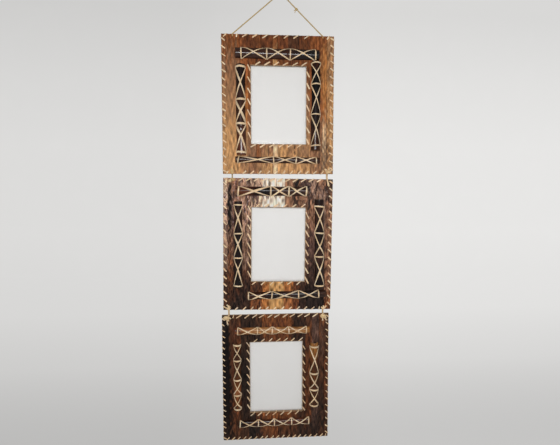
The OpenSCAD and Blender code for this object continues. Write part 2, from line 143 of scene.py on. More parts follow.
# Blotches on each panel's bark: x, z, half width, half height, tone, strength.
BLOTCHES = (
    (
        (112, -20, 6, 40, "mahogany", 0.3), (104, 70, 9, 50, "gold", 0.5), (104, -126, 20, 24, "plum", 0.6),
        (86, -60, 4, 50, "mahogany", 0.5), (-48, 118, 7, 20, "umber", 0.5), (48, 128, 18, 14, "umber", 0.5),
        (37, -100, 1.5, 9, "soot", 0.9), (-30, 88, 12, 8, "mahogany", 0.5), (60, -104, 14, 10, "plum", 0.35),
        (108, -96, 7, 30, "plum", 0.45),
    ),
    (
        (97, 116, 17, 18, "soot", 0.7), (97, 116, 11, 12, "dust", 0.9), (98, 117, 3, 3, "plum", 0.7),
        (43, 143, 6, 14, "pitch", 1), (41, 100, 7, 13, "char", 0.9), (71, 106, 3, 26, "char", 0.9),
        (56, 102, 6, 12, "fawn", 0.5), (-110, 86, 4.2, 60, "pitch", 1), (-110, -14, 4, 34, "umber", 0.7),
        (-102, 70, 3, 60, "plum", 0.7), (-55, 134, 2, 13, "char", 0.8), (-108, 148, 9, 6, "fawn", 0.9),
        (-60, 108, 5, 10, "char", 0.7), (-20, 140, 3, 12, "char", 0.8), (40, 128, 5, 18, "char", 0.75),
        (64, 138, 7, 12, "char", 0.6), (-80, 60, 16, 60, "fawn", 0.3), (-72, -8, 14, 14, "umber", 0.6),
        (118, 140, 8, 14, "char", 0.6), (-60, -104, 22, 22, "pitch", 0.55),
        (-100, -104, 20, 52, "pitch", 0.6), (75, -120, 32, 32, "pitch", 0.5),
    ),
    (
        (-45, -124, 11, 14, "char", 0.8), (-18, -128, 14, 14, "sienna", 0.5),
        (16, 122, 22, 18, "mahogany", 0.45), (58, 122, 12, 20, "char", 0.7),
        (34, 132, 6, 14, "sienna", 0.5), (-18, 128, 4, 16, "sienna", 0.5),
        (100, -30, 6, 60, "soot", 0.4), (110, 90, 6, 40, "plum", 0.5), (-98, 20, 6, 90, "mahogany", 0.6),
        (-112, 20, 5, 90, "pitch", 0.95), (-109, -82, 7, 70, "pitch", 0.9), (-62, 118, 12, 20, "pitch", 0.5),
        (-72, -30, 6, 90, "pitch", 0.5), (98, -120, 16, 26, "char", 0.5),
    ),
)

# Each side's rods on the three panels: x, z, length, width and turn, the places of its bands
# and of its crosses, its tones from one end to the other, the width of a band and the widths
# of its two crossing strands, and how glossy the rod is from one end to the other.
RODS = {
    "head": (
        ((-1.5, 111, 186, 23, -0.5), (-80, -24, 28, 84), (-53, 0, 56),
         "coffee bole bole bole tar ink", 2.6, (2.5, 2.3), (1, 1, 1)),
        ((-13.5, 123, 161, 21, 0.5), (-77, -4, 37, 77), (-42, 16, 55),
         "chestnut mahogany tar ink coffee coffee coffee coffee", 3.4, (4.0, 3.6), (0.1, 0.5, 0.5, 1)),
        ((-8.5, 113.5, 176, 16, 0), (-80, -34, 0, 39, 80), (-57, -18, 20, 59),
         "mahogany ochre gold gold gold amber gold amber", 2.6, (2.4, 2.2), (0.4, 0.9, 0.9, 0.8)),
    ),
    "sill": (
        ((-1, -121, 191, 14, -0.5), (-89, -10, 41, 87), (-45, 16, 63),
         "bole coffee bole coffee bole", 2.4, (2.6, 2.6), (1, 1, 1)),
        ((21, -117, 184, 17.5, 1.5), (-88, -34, 28, 75), (-66, -5, 52),
         "bole bole tar coffee tar tar bole", 2.8, (2.9, 2.7), (0.3, 0.6, 1, 1)),
        ((-4, -111.5, 169, 16, 1), (-81, -38, 0, 41, 82), (-58, -15, 21, 61),
         "tar bole cocoa mahogany cocoa", 2.4, (2.3, 2.2), (0.2, 0.7, 0.7, 0.7)),
    ),
    "left": (
        ((-83.5, -12, 197, 21, 90), (-92, -30, 23, 93), (-55, -3, 59),
         "mahogany mahogany coffee bole coffee tar tar", 4.4, (4.6, 3.0), (0.8, 1, 0.9, 0.8)),
        ((-91, 0.5, 198, 18.5, 90), (-95, -30, 26, 91), (-56, 2, 62),
         "ink tar tar ink tar coffee tar", 3.0, (2.9, 2.5), (0.4, 1, 1, 1)),
        ((-90.5, 3.5, 162, 16.5, 90), (-77, -43, -6, 41, 78), (-63, -26, 19, 61),
         "cocoa rust sienna rust cocoa cocoa bole rust", 3.6, (2.3, 2.1), (0.4, 0.5, 0.4)),
    ),
    "right": (
        ((84.5, -1.5, 196, 20.5, 90), (-87, -18, 48, 94), (-49, 18, 72),
         "bole bole tar tar ink ink bole", 2.8, (2.3, 2.1), (0.7, 0.6, 0.3)),
        ((96, 3.5, 204, 21, 91), (-98, -30, 25, 86), (-62, -6, 58),
         "ink tar coffee tar tar coffee tar", 3.4, (3.0, 2.6), (0.5, 1, 1, 0.8)),
        ((91, 3.5, 158, 20, 90), (-74, -35, 5, 70), (-55, -17, 40),
         "cocoa cocoa cocoa cocoa rust cocoa rust amber amber", 3.6, (2.6, 2.3), (0.4, 0.4, 0.4)),
    ),
}

# A rod's rise as a share of its width, its wall in millimetres, and its steps along and round.
ROD_RISE, ROD_WALL = 0.38, 2.6
ROD_STEPS, ROD_ROUND = 84, 19
ROD_SLOTS = ("dark_bamboo", "dark_bamboo", "golden_bamboo")

# Stitches on the head, right, sill and left edge of each panel and of each window, their
# front legs (run along the edge and reach in from it) and the widths of their strands.
EDGE_STITCHES = ((11, 18, 14, 18), (14, 17, 14, 17), (14, 18, 19, 22))
WINDOW_STITCHES = ((6, 7, 6, 7), (6, 8, 6, 8), (7, 9, 7, 9))
HEAD_LEG, SILL_LEG = (12.0, 7.5), (7.5, 7.0)
STILE_LEGS = ((6.5, 8.8), (8.0, 8.0), (5.0, 6.6))
WINDOW_RAIL_LEGS = ((12.0, 7.0), (9.5, 7.5), (9.5, 7.8))
WINDOW_STILE_LEGS = ((14.0, 7.0), (16.0, 8.5), (11.0, 6.8))
EDGE_WIDTHS, WINDOW_WIDTHS = (1.0, 1.0, 0.8), (1.0, 0.95, 0.78)

# The room that stitches leave to a corner and to a cord, in millimetres along the edge.
HOLE_ROOM, TIE_ROOM = 2.0, 6.5

# Where the cords meet the panels' edges, in millimetres from the nail.
TWINE_X = (-106.5, 93.5)
UPPER_TIE_X = (-110.5, 106.0)
LOWER_TIE_X = (-122.0, 98.5)
FOOT_Z = MIDDLES[0][1] + HALF_H + FLEX_OUT

# The twine's route from its left foot over the nail to its right foot, x and z from the nail.
TWINE = (
    (-106.5, FOOT_Z), (-98, -82.5), (-88, -74), (-78, -65.5), (-68, -57.2), (-58, -48.7),
    (-48, -40.4), (-38, -32), (-28, -23.5), (-18, -15), (-10, -8.3), (-5, -4), (-2.5, -1.6),
    (0, -0.6), (2.5, -1.5), (5, -3.8), (10, -8.9), (20, -19.1), (30, -28.9), (40, -38.6),
    (50, -48.3), (60, -57.8), (70, -67.4), (80, -76.9), (88, -84.5), (93.5, FOOT_Z),
)

# The twine's radius in millimetres, and how many plies every twisted cord has.
TWINE_RADIUS, PLIES = 1.25, 2

# The point of the twine's route just above its knot.
KNOT_AT = 18

# Where the camera stands, in metres, and its turns in degrees: down, to the right, and its lean.
CAMERA_PLACE = (-0.0419, -0.7265, -0.4576)
CAMERA_TURNS = (3.88, 3.12, -0.11)

# The ties' ends on the panels: x from the nail, side of the panel, the front legs' holes
# (run and reach), the knot's half sizes, reach and offset, and tails of length and turn.
TIE_ENDS = (
    (
        "top_tie_ends", "top_tie_knots", 0,
        (
            (UPPER_TIE_X[0], -1, ((-3.5, 9), (1, 13), (3, 9)), None, ()),
            (UPPER_TIE_X[1], -1, ((-4, 13), (5, 12), (0.5, 9)), (6.2, 2.3, 4.0, 5.0, -1.5),
             ((11, 250), (8, 140))),
        ),
    ),
    (
        "middle_head_tie_ends", "middle_head_tie_knots", 1,
        (
            (UPPER_TIE_X[0], 1, ((-6.5, 7), (2.5, 7), (5, 5)), (4.2, 1.7, 3.6, 6.0, -5.0), ()),
            (UPPER_TIE_X[1], 1, ((5, 17), (2.5, 15)), None, ()),
        ),
    ),
    (
        "middle_sill_tie_ends", "middle_sill_tie_knots", 1,
        (
            (LOWER_TIE_X[0], -1, ((-2.5, 9), (0, 11), (4, 6), (-5, 5)), None, ((9, 150),)),
            (LOWER_TIE_X[1], -1, ((-5, 7), (-1, 9), (3.5, 6), (-9, 9)), None, ()),
        ),
    ),
    (
        "bottom_tie_ends", "bottom_tie_knots", 2,
        (
            (LOWER_TIE_X[0], 1, ((-2, 8), (-6, 7)), (8.0, 2.6, 5.2, 5.6, -5.0),
             ((19, 172), (10, 150), (11, 100))),
            (LOWER_TIE_X[1], 1, ((-2, 8), (3, 7)), (7.2, 2.6, 5.4, 5.6, 0.0),
             ((13, 185), (16, 140), (10, 118))),
        ),
    ),
)

# How wide each tie spreads and how its raffia is toned, the upper left tie darker and greener as painted
# shade, and the tones of the upper left ties' ends and of the other ends.
TIE_LOOKS = {
    ("upper", "left"): (1.4, (0.56, 0.56, 0.42)),
    ("upper", "right"): (2.5, (0.92, 0.86, 0.8)),
    ("lower", "left"): (2.1, (0.85, 0.8, 0.68)),
    ("lower", "right"): (1.9, (0.9, 0.84, 0.72)),
}
OLIVE_END_RAFFIA, PALE_END_RAFFIA = (0.66, 0.58, 0.38), (1.0, 0.95, 0.86)

# Wave lengths so long that a field hardly changes across a piece.
LEVEL = (900, 999)
SHARP_EDGE = math.radians(40)


def linear(tone):
    """A named tone's colour in the linear scale that shaders use."""
    return ((np.array(TONES[tone]) / 255 + 0.055) / 1.055) ** 2.4


def look():
    """The settings in the sidebar."""
    return bpy.context.scene.bamboo_frame


def waves(rng, count, across, along):
    """A smooth random field of x and z, mostly between -1 and 1."""
    kx = math.tau / rng.uniform(*across, count) * rng.choice((-1, 1), count)
    kz = math.tau / rng.uniform(*along, count)
    phase = rng.uniform(0, math.tau, count)

    def field(x, z):
        total = sum(np.sin(kx[n] * x + kz[n] * z + phase[n]) for n in range(count))
        return total / math.sqrt(count) * 0.9

    return field


def patches(rng, count, across, along):
    """A smooth random field like that of waves, whose patches stand upright."""
    kx = math.tau / rng.uniform(*across, count)
    kz = math.tau / rng.uniform(*along, count)
    turn, phase = rng.uniform(0, math.tau, (2, count))

    def field(x, z):
        total = sum(np.sin(kx[n] * x + turn[n]) * np.sin(kz[n] * z + phase[n]) for n in range(count))
        return total / math.sqrt(count) * 1.3

    return field


def ease(t):
    """A smooth step from 0 to 1."""
    t = np.clip(t, 0, 1)
    return t * t * (3 - 2 * t)


def bell(t, width):
    """A smooth bump of height 1 about 0."""
    return np.exp(-((t / width) ** 2))


def far_off(x, z, spot):
    """How far places are from a spot of x, z, half width and half height, squared."""
    return ((x - spot[0]) / spot[2]) ** 2 + ((z - spot[1]) / spot[3]) ** 2


def tone_run(names, t):
    """Blends evenly spaced tones: t runs from 0 at the first to 1 at the last."""
    colours = np.array([linear(name) for name in names.split()])
    place = np.clip(t, 0, 1) * (len(colours) - 1)
    low = np.minimum(place.astype(int), len(colours) - 2)
    share = ease(place - low)[..., None]
    return colours[low] * (1 - share) + colours[low + 1] * share


def in_panel(p, points):
    """Points in a panel's own millimetres, as metres in the frame."""
    x, y, z = np.asarray(points, float).T
    c, s = math.cos(TURNS[p]), math.sin(TURNS[p])
    return np.column_stack([MIDDLES[p][0] + x * c + z * s, y, MIDDLES[p][1] - x * s + z * c]) / 1000


def across(p, x, side):
    """The x across a panel of a point on its head edge (side 1) or sill edge (side -1)."""
    return x - MIDDLES[p][0] - side * HALF_H * math.sin(TURNS[p])


def tube_faces(rows, ring):
    """The indices of a tube's rings of points, and the faces between them."""
    index = np.arange(rows * ring).reshape(rows, ring)
    a, b = index[:-1], index[1:]
    return index, np.stack([a, np.roll(a, -1, 1), np.roll(b, -1, 1), b], axis=-1).reshape(-1, 4)


def grain_at(girth, seed, run):
    """The place in a piece's grain: round it, in its own layer and along it."""
    return np.stack(np.broadcast_arrays(girth, float(seed), run), axis=-1).reshape(-1, 3)


class Mesher:
    """Collects the solids of one piece, in millimetres, and the values painted on them."""

    def __init__(self):
        self.parts, self.faces, self.total = [], [], 0

    def add(self, points, faces, grain, tone, mark=0.0, fleck=1.0):
        """Adds a solid. fleck is how strongly bark is flecked or how glossy bamboo is."""
        count = len(points)
        values = [np.broadcast_to(value, (count, 3)) for value in (points, grain, tone)]
        values += [np.broadcast_to(value, (count,)) for value in (mark, fleck)]
        self.parts.append(values)
        self.faces.extend([k + self.total for k in face] for face in faces)
        self.total += count

    def piece(self, name, material, slot, p=None):
        """Makes the object. Its points are in panel p's frame, or in the whole's with no p."""
        points, grain, tone, mark, fleck = [np.concatenate(part) for part in zip(*self.parts)]
        points = points / 1000 if p is None else in_panel(p, points)
        mesh = bpy.data.meshes.new(name)
        mesh.from_pydata(points.tolist(), [], self.faces)
        layers = (
            ("grain", "FLOAT_VECTOR", "vector", grain),
            ("tone", "FLOAT_COLOR", "color", np.column_stack([tone, fleck])),
            ("mark", "FLOAT", "value", mark),
        )
        for label, kind, field, values in layers:
            layer = mesh.attributes.new(label, kind, "POINT")
            layer.data.foreach_set(field, values.astype(np.float32).ravel())
        mesh.polygons.foreach_set("use_smooth", np.ones(len(mesh.polygons), bool))
        mesh.set_sharp_from_angle(angle=SHARP_EDGE)
        mesh.materials.append(material)
        mesh.update()
        obj = bpy.data.objects.new(name, mesh)
        bpy.context.scene.collection.objects.link(obj)
        return obj

    def dress(self, name, material, slot, node, body, p=None):
        """Makes the object that stands for a node and rides on its body."""
        obj = self.piece(name, material, slot, p)
        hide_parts(node)
        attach(obj, body)
        return obj


def smooth_line(points, per=4):
    """A smooth line through the points, with the given steps between two of them."""
    points = np.asarray(points, float)
    padded = np.vstack([2 * points[0] - points[1], points, 2 * points[-1] - points[-2]])
    t = np.linspace(0, 1, per, endpoint=False)[:, None]
    out = []
    for a, b, c, d in zip(padded, padded[1:], padded[2:], padded[3:]):
        bend = (2 * a - 5 * b + 4 * c - d) * t**2 + (3 * b - a - 3 * c + d) * t**3
        out.append(0.5 * (2 * b + (c - a) * t + bend))
    return np.vstack([*out, points[-1:]])


def unit(vectors):
    """Vectors at length 1."""
    return vectors / np.maximum(np.linalg.norm(vectors, axis=-1, keepdims=True), 1e-9)


def run_along(line):
    """The length of a line up to each of its points."""
    return np.concatenate([[0], np.cumsum(np.linalg.norm(np.diff(line, axis=0), axis=1))])


def ribbon(mesher, line, outward, width, thick, tone, seed, ring=8, boxy=0.55):
    """Sweeps a flattened strand along a line, its flat side facing outward."""
    way = unit(np.gradient(line, axis=0))
    side = unit(np.cross(way, outward))
    out = np.cross(side, way)
    turn = np.linspace(0, math.tau, ring, endpoint=False) + math.pi / ring
    c, s = [np.sign(wave(turn)) * np.abs(wave(turn)) ** boxy for wave in (np.cos, np.sin)]
    half_w, half_t = [np.broadcast_to(np.asarray(size) / 2, len(line))[:, None] for size in (width, thick)]
    points = line[:, None] + side[:, None] * (half_w * c)[..., None] + out[:, None] * (half_t * s)[..., None]
    grain = grain_at(half_w * (c + 0.7 * s), seed, run_along(line)[:, None])
    rings, faces = tube_faces(len(line), ring)
    caps = [rings[0][::-1].tolist(), rings[-1].tolist()]
    tones = np.repeat(np.broadcast_to(tone, (len(line), 3)), ring, axis=0)
    mesher.add(points.reshape(-1, 3), faces.tolist() + caps, grain, tones)


def twisted_cord(mesher, line, radius, pitch, tone, seed, hint=(0, 1, 0)):
    """Lays a cord of twisted plies along a line."""
    way = unit(np.gradient(line, axis=0))
    first = unit(np.cross(way, hint))
    second = np.cross(way, first)
    run = run_along(line)
    for ply in range(PLIES):
        turn = (math.tau * (run / pitch + ply / PLIES))[:, None]
        out = first * np.cos(turn) + second * np.sin(turn)
        thick = radius * (1.3 + 0.06 * np.sin(run / 3.1 + ply))
        ribbon(mesher, line + out * radius * 0.46, out, thick, thick, tone, seed + ply, 10, 1.0)


def wound_knot(mesher, centre, size, strand, turns, tone, seed):
    """Winds a strand round and round a small ball, for a knot. size is its half sizes."""
    t = np.linspace(0, 1, turns * 16)
    lean = np.random.default_rng(seed).uniform(0, 6) + t * math.pi * 1.15
    pole = unit(np.column_stack([np.cos(lean), 0.45 * np.sin(2 * lean) + 0.15, np.sin(lean)]))
    first = unit(np.cross(pole, (0.13, 1.0, 0.21)))
    second = np.cross(pole, first)
    turn = (math.tau * turns * t)[:, None]
    out = first * np.cos(turn) + second * np.sin(turn)
    reach = np.maximum(np.asarray(size) - strand * 0.4, 0.4)
    shade = 1 + 0.16 * np.sin(t * 31 + seed)[:, None]
    ribbon(mesher, centre + out * reach, out, strand * 1.25, strand * 0.8, tone * shade, seed)
    angle, rise = np.meshgrid(np.linspace(0, math.tau, 10, endpoint=False), np.linspace(-1.4, 1.4, 6))
    core = np.stack([np.cos(angle) * np.cos(rise), np.sin(rise), np.sin(angle) * np.cos(rise)], axis=-1)
    rings, faces = tube_faces(*angle.shape)
    faces = faces[:, [0, 3, 2, 1]].tolist() + [rings[0].tolist(), rings[-1][::-1].tolist()]
    # The ball inside the turns is darkened: painted shade showing between the turns.
    mesher.add((centre + core * reach * 0.85).reshape(-1, 3), faces, (0, seed, 0), tone * (0.4, 0.33, 0.24))


class Bark:
    """The bark strips of one panel: where they run, how high they stand and their tones."""

    def __init__(self, p):
        rng = np.random.default_rng(look().bark_seed + p)
        self.p = p
        widths, self.tones = zip(*STRIPS[p])
        self.edges = np.cumsum([0, *widths]) - HALF_W
        self.count = len(widths)
        self.over = rng.choice((-1, -1, 0, 1, 1), self.count + 1)
        self.over[0] = self.over[-1] = 0
        self.crown = rng.uniform(0.05, 0.25, self.count)
        self.ridges = [waves(rng, 5, (3, 11), (50, 160)) for _ in widths]
        self.dents = [patches(rng, 4, (8, 30), (14, 45)) for _ in widths]
        self.blots = [patches(rng, 6, (7, 24), (16, 60)) for _ in widths]
        self.cuts = [waves(rng, 5, LEVEL, (7, 60)) for _ in self.edges]
        self.wander = [patches(rng, 5, (8, 30), (20, 80)) for _ in widths]
        self.seam_dark_and_shade = rng.uniform(0.3, 1.0, self.count + 1)
        self.torn = patches(rng, 7, (4, 13), (9, 26))

    def sides(self, n, x):
        """Strip n's left and right edge: its joint, the way out, the gap to it, and whether
        the strip there lies over (1), under (-1) or beside (0) its neighbour."""
        left, right = self.edges[n : n + 2]
        return (n, -1, x - left, self.over[n]), (n + 1, 1, right - x, -self.over[n + 1])

    def height(self, n, x, z):
        """How far strip n's face stands above the board."""
        left, right = self.edges[n : n + 2]
        u = np.clip((x - left) / (right - left), 0, 1)
        rise = BARK_T + self.crown[n] * (1 - (2 * u - 1) ** 2)
        rise = rise + 0.07 * self.ridges[n](x, z) + 0.07 * self.dents[n](x, z)
        for _, _, gap, over in self.sides(n, x):
            lift = look().bark_lift * 1000 if over > 0 else SUNK if over < 0 else MEETING
            rise = rise + ease(1 - gap / LIFT_REACH) * lift
        return rise

    def face_y(self, places):
        """The y of the bark's face at places on the panel."""
        x, _, z = places.T
        strip = np.clip(np.searchsorted(self.edges, x) - 1, 0, self.count - 1)
        rise = np.zeros(len(x))
        for n in np.unique(strip):
            here = strip == n
            rise[here] = self.height(n, x[here], z[here])
        return -BOARD_T - rise

    def colour(self, n, x, z):
        """The tone of strip n at places on it."""
        torn = 0.85 * self.torn(x, z)
        t = (HALF_H - z) / PANEL_H + 0.07 * self.wander[n](x, z)
        colour = tone_run(self.tones[n], t) * (1 + BLOTS[self.p] * self.blots[n](x, z))[..., None]
        for *spot, tone, strength in BLOTCHES[self.p]:
            share = (strength * ease(1.35 - far_off(x, z, spot) * 0.75 + torn))[..., None]
            colour = colour * (1 - share) + linear(tone) * share
        return np.clip(colour * GROUND[self.p], *TONE_LIMITS)

    def flecks(self, x, z):
        """How strongly the bark is flecked at places on the panel."""
        amount = np.full(x.shape, FLECKS[self.p])
        for *spot, change in WEAR[self.p]:
            amount = amount * (1 + change * ease(1.5 - far_off(x, z, spot) + 0.5 * self.torn(x, z)))
        return amount

    def strip(self, mesher, n):
        """Adds strip n as a closed solid, cut round the window, with ragged edges and ends."""
        left, right = self.edges[n : n + 2]
        jambs = (WINDOW_X - WINDOW_W / 2, WINDOW_X + WINDOW_W / 2)
        stops = [left, *[x for x in jambs if left + 0.8 < x < right - 0.8], right]
        cols = [
            np.linspace(a, b, max(2, math.ceil((b - a) / BARK_CELL)), endpoint=False)
            for a, b in zip(stops, stops[1:])
        ]
        low, high = WINDOW_Z - WINDOW_H / 2, WINDOW_Z + WINDOW_H / 2
        rows = [
            np.linspace(-HALF_H, low, BARK_ROWS[0], endpoint=False),
            np.linspace(low, high, BARK_ROWS[1], endpoint=False),
            np.linspace(high, HALF_H, BARK_ROWS[2]),
        ]
        x, z = np.meshgrid(np.concatenate([*cols, [right]]), np.concatenate(rows), indexing="ij")
        bent, edge = x, 0 * x
        for joint, way, gap, over in self.sides(n, x):
            inside = 0 < joint < self.count
            out = -0.4 if not inside else 1.0 if over > 0 else 0.5 if over < 0 else -0.06
            cut = look().bark_ragged * 1000 * self.cuts[joint](0, z) * (1 if inside else 0.5)
            bent = bent + (way * out + cut) * ease(1 - gap / WANDER_REACH)
            # Seams darken towards each joint: partly the strips' dark joints, partly painted shade between
            # the strips.
            edge = np.maximum(edge, self.seam_dark_and_shade[joint] * ease(1 - gap / SEAM_DARK_AND_SHADE_REACH))
        short = 0.25 * (1 + self.cuts[n](3 * x, 5 * x))
        tall = z - np.sign(z) * short * (np.abs(z) > HALF_H - 0.1)
        solid = ~(
            (np.abs((x[1:, 1:] + x[:-1, :-1]) / 2 - WINDOW_X) < WINDOW_W / 2)
            & (np.abs((z[1:, 1:] + z[:-1, :-1]) / 2 - WINDOW_Z) < WINDOW_H / 2)
        )
        count = x.size
        index = np.arange(count).reshape(x.shape)
        corners = (index[:-1, :-1], index[1:, :-1], index[1:, 1:], index[:-1, 1:])
        quads = np.column_stack([corner[solid] for corner in corners])
        steps = set(zip(quads.T.ravel().tolist(), np.roll(quads, -1, 1).T.ravel().tolist()))
        walls = [(b, a, a + count, b + count) for a, b in steps if (b, a) not in steps]
        used, faces = np.unique(np.vstack([quads, quads[:, ::-1] + count, walls]), return_inverse=True)
        spot, behind = used % count, used >= count
        front = -BOARD_T - self.height(n, x, z).ravel()[spot]
        y = np.where(behind, -BOARD_T + 0.05, front)
        # The mark darkens the seams, partly dark joints and partly painted shade, and at full strength the
        # hidden backs and the side walls towards the board.
        mesher.add(
            np.column_stack([bent.ravel()[spot], y, tall.ravel()[spot]]),
            faces.reshape(-1, 4).tolist(),
            grain_at(x, 3.7 * n + 50 * self.p, z)[spot],
            self.colour(n, x, z).reshape(-1, 3)[spot],
            np.where(behind, 1.0, edge.ravel()[spot]),
            self.flecks(x, z).ravel()[spot],
        )


@functools.cache
def bark_of(p):
    """The bark of panel p, made once."""
    return Bark(p)


class Rod:
    """A split-bamboo rod on a panel, and the places on and round it."""

    def __init__(self, p, side):
        place, self.bands, self.crosses, self.tones, self.band_w, self.cross_w, self.gloss = RODS[side][p]
        self.x, self.z, self.length, width, turn = place
        self.turn = math.radians(turn)
        rise = ROD_RISE * width
        self.radius = (width**2 / 4 + rise**2) / (2 * rise)
        self.centre = rise - self.radius
        self.foot = math.acos(-self.centre / self.radius)
        self.seed = 100 * (p + 1) + 7 * list(RODS).index(side)

    def place(self, along, aside, height):
        """A place given along and across the rod and above the bark."""
        c, s = math.cos(self.turn), math.sin(self.turn)
        along, aside, height = np.broadcast_arrays(along, aside, height)
        x, z = self.x + along * c - aside * s, self.z + along * s + aside * c
        return np.stack([x, BARK_Y - height, z], axis=-1)

    def over(self, angle, along, lift):
        """A place over the rod's back, by its angle from the top, and the way outward there."""
        radius = self.radius + lift
        spot = self.place(along, radius * np.sin(angle), self.centre + radius * np.cos(angle))
        return spot, self.place(0 * along, np.sin(angle), np.cos(angle)) - self.place(0, 0, 0)

    def body(self, mesher):
        """Adds the rod: an open arch in section, swollen at its node and worn at its ends."""
        rng = np.random.default_rng(self.seed)
        half = self.length / 2
        middle = np.linspace(-half + 1.2, half - 1.2, ROD_STEPS)
        along = np.concatenate([[-half, -half + 0.35], middle, [half - 0.35, half]])[:, None]
        from_end = half - np.abs(along)
        swell = waves(rng, 4, LEVEL, (40, 150))(0, along) * 0.012
        node = rng.uniform(-0.55, 0.55) * self.length
        ring = 0.5 * bell(along - node, 1.5) - 0.3 * bell(along - node - 3, 1.2)
        soft = np.where(from_end < 0.1, -0.45, np.where(from_end < 0.5, -0.12, 0.0))
        bow = waves(rng, 3, LEVEL, (90, 240))(0, along) * 0.35
        count = ROD_ROUND
        inner_radius = self.radius - ROD_WALL
        inner_foot = math.acos(min(0.98, -self.centre / inner_radius))
        shells = []
        for radius, foot, extra, fibre in (
            (self.radius, self.foot, ring + soft, 0.02), (inner_radius, inner_foot, 0.0, 0.0),
        ):
            angle = np.linspace(-1, 1, count) * foot
            reach = radius * (1 + swell) + extra
            rough = reach + fibre * np.sin(angle * 9 + self.seed)
            height = np.maximum(self.centre + rough * np.cos(angle), -0.05)
            shells.append((along + 0 * angle, rough * np.sin(angle) + bow, height, reach * angle))
        run, aside, height, girth = [np.concatenate([a, b[:, ::-1]], axis=1) for a, b in zip(*shells)]
        index, faces = tube_faces(*run.shape)
        faces = faces.tolist()
        for row, flip in ((index[0].tolist(), 1), (index[-1].tolist(), -1)):
            faces += [[row[k], row[-1 - k], row[-2 - k], row[k + 1]][::flip] for k in range(count - 1)]
        t = run / self.length + 0.5
        mottle = waves(rng, 5, (5, 14), (18, 60))(girth, run)
        tone = tone_run(self.tones, t + 0.05 * mottle) * (1 + 0.22 * mottle)[..., None]
        node_mark = bell(run - node, 1.2)
        worn = np.exp(-from_end / 1.2)[..., None] * (0.03, 0.03 * 0.75, 0.03 * 0.5)
        tone = tone * (1 + 0.6 * node_mark)[..., None] + worn
        gloss = np.interp(t, np.linspace(0, 1, len(self.gloss)), self.gloss) * (1 - 0.75 * node_mark)
        inside = np.broadcast_to(np.repeat((0.0, 1.0), count), run.shape)
        points = self.place(run, aside, height).reshape(-1, 3)
        tone = np.clip(tone, 0.004, 0.9).reshape(-1, 3)
        mesher.add(points, faces, grain_at(girth, self.seed, run), tone, inside.ravel(), gloss.ravel())

    def strand(self, mesher, rng, angle, along, lift, width):
        """Lays a flat strand over the rod, both its ends tucked into the bark."""
        line, outward = self.over(angle, along, lift)
        reach = (self.radius + 0.5) * math.sin(self.foot)
        for k in (0, -1):
            side = math.copysign(1, angle[k])
            near = self.place(along[k], side * (reach + 0.35), 0.35)
            deep = self.place(along[k], side * (reach + 0.3), -1.0)
            out = self.place(0, side, 0.25) - self.place(0, 0, 0)
            line = np.vstack([line, near, deep] if k else [deep, near, line])
            outward = np.vstack([outward, out, out] if k else [out, out, outward])
        ribbon(mesher, line, outward, width, RAFFIA_T * 0.85, raffia_tone(rng), rng.integers(1, 900))

    def lashing(self, mesher):
        """Adds the bands square across the rod and the crossing strands between them."""
        rng = np.random.default_rng(self.seed + 1)
        reach = self.foot * 0.97
        strands = 2 if self.band_w >= 2.6 else 1
        each = self.band_w / strands
        for band in self.bands:
            slant = rng.normal(0, 0.5)
            for k in range(strands):
                angle = np.linspace(-reach, reach, 15)
                middle = band + (k - (strands - 1) / 2) * each * 0.94
                along = middle + slant * angle / reach + 0.15 * np.sin(angle * 3 + k)
                lift = 0.62 + 0.12 * rng.random()
                width = each * rng.uniform(1.0, 1.15) * (1 + 0.06 * np.sin(np.linspace(0, 6, 19) + k))
                self.strand(mesher, rng, angle, along, lift, width)
        room = self.band_w / 2 + 0.6
        t = np.linspace(0, 1, 27)
        for cross, before, after in zip(self.crosses, self.bands, self.bands[1:]):
            start, end = before + room, after - room
            for k, way in enumerate((1, -1)):
                angle = way * (0.4 * reach * (2 * t - 1) + 0.6 * np.arcsin((2 * t - 1) * math.sin(reach)))
                along = np.where(
                    t < 0.5, start + (cross - start) * 2 * t, cross + (end - cross) * (2 * t - 1)
                )
                along = along + 0.4 * np.sin(t * math.pi * 2 + rng.uniform(0, 6))
                width = self.cross_w[k] * rng.uniform(0.8, 1.15)
                width = width * (1 + 0.12 * np.sin(np.linspace(0, 9, 31) + rng.uniform(0, 6)))
                self.strand(mesher, rng, angle, along, 0.42 + 0.5 * k * bell(t - 0.5, 0.12), width)


def raffia_tone(rng, spread=0.16, warmest=0.2):
    """A strand's own shade of raffia: a little paler, darker or warmer than the rest."""
    shade = 1 + rng.uniform(-spread, spread * 0.6)
    warm = rng.uniform(0.2, 1.0) * warmest
    return np.array(look().raffia_tone) * shade * (1, 1 - 0.5 * warm, 1 - 0.75 * warm)


class EdgeLine:
    """One edge of a panel or window: x runs along it, and z points out over the edge."""

    def __init__(self, x, z, turn, length=0.0):
        self.x, self.z, self.length = x, z, length
        self.c, self.s = math.cos(math.radians(turn)), math.sin(math.radians(turn))

    def place(self, run, y, z):
        """A place on the panel, from its run along the edge and its z out over it."""
        run, y, z = np.broadcast_arrays(run, y, z)
        return np.stack([self.x + run * self.c + z * self.s, y, self.z - run * self.s + z * self.c], axis=-1)

    def ways(self, *ways):
        """Directions at the edge, each given by its y and z and for how many points it holds."""
        return np.vstack([
            np.repeat(self.place(0, y, z)[None] - self.place(0, 0, 0), times, 0) for y, z, times in ways
        ])


def edges_round(x, z, width, height, inward=0, trim=0):
    """The head, right, sill and left edge of a panel, or of a window with inward as 180."""
    return (
        EdgeLine(x, z + height / 2, inward, width - trim),
        EdgeLine(x + width / 2, z, inward + 90, height - trim),
        EdgeLine(x, z - height / 2, inward + 180, width - trim),
        EdgeLine(x - width / 2, z, inward - 90, height - trim),
    )


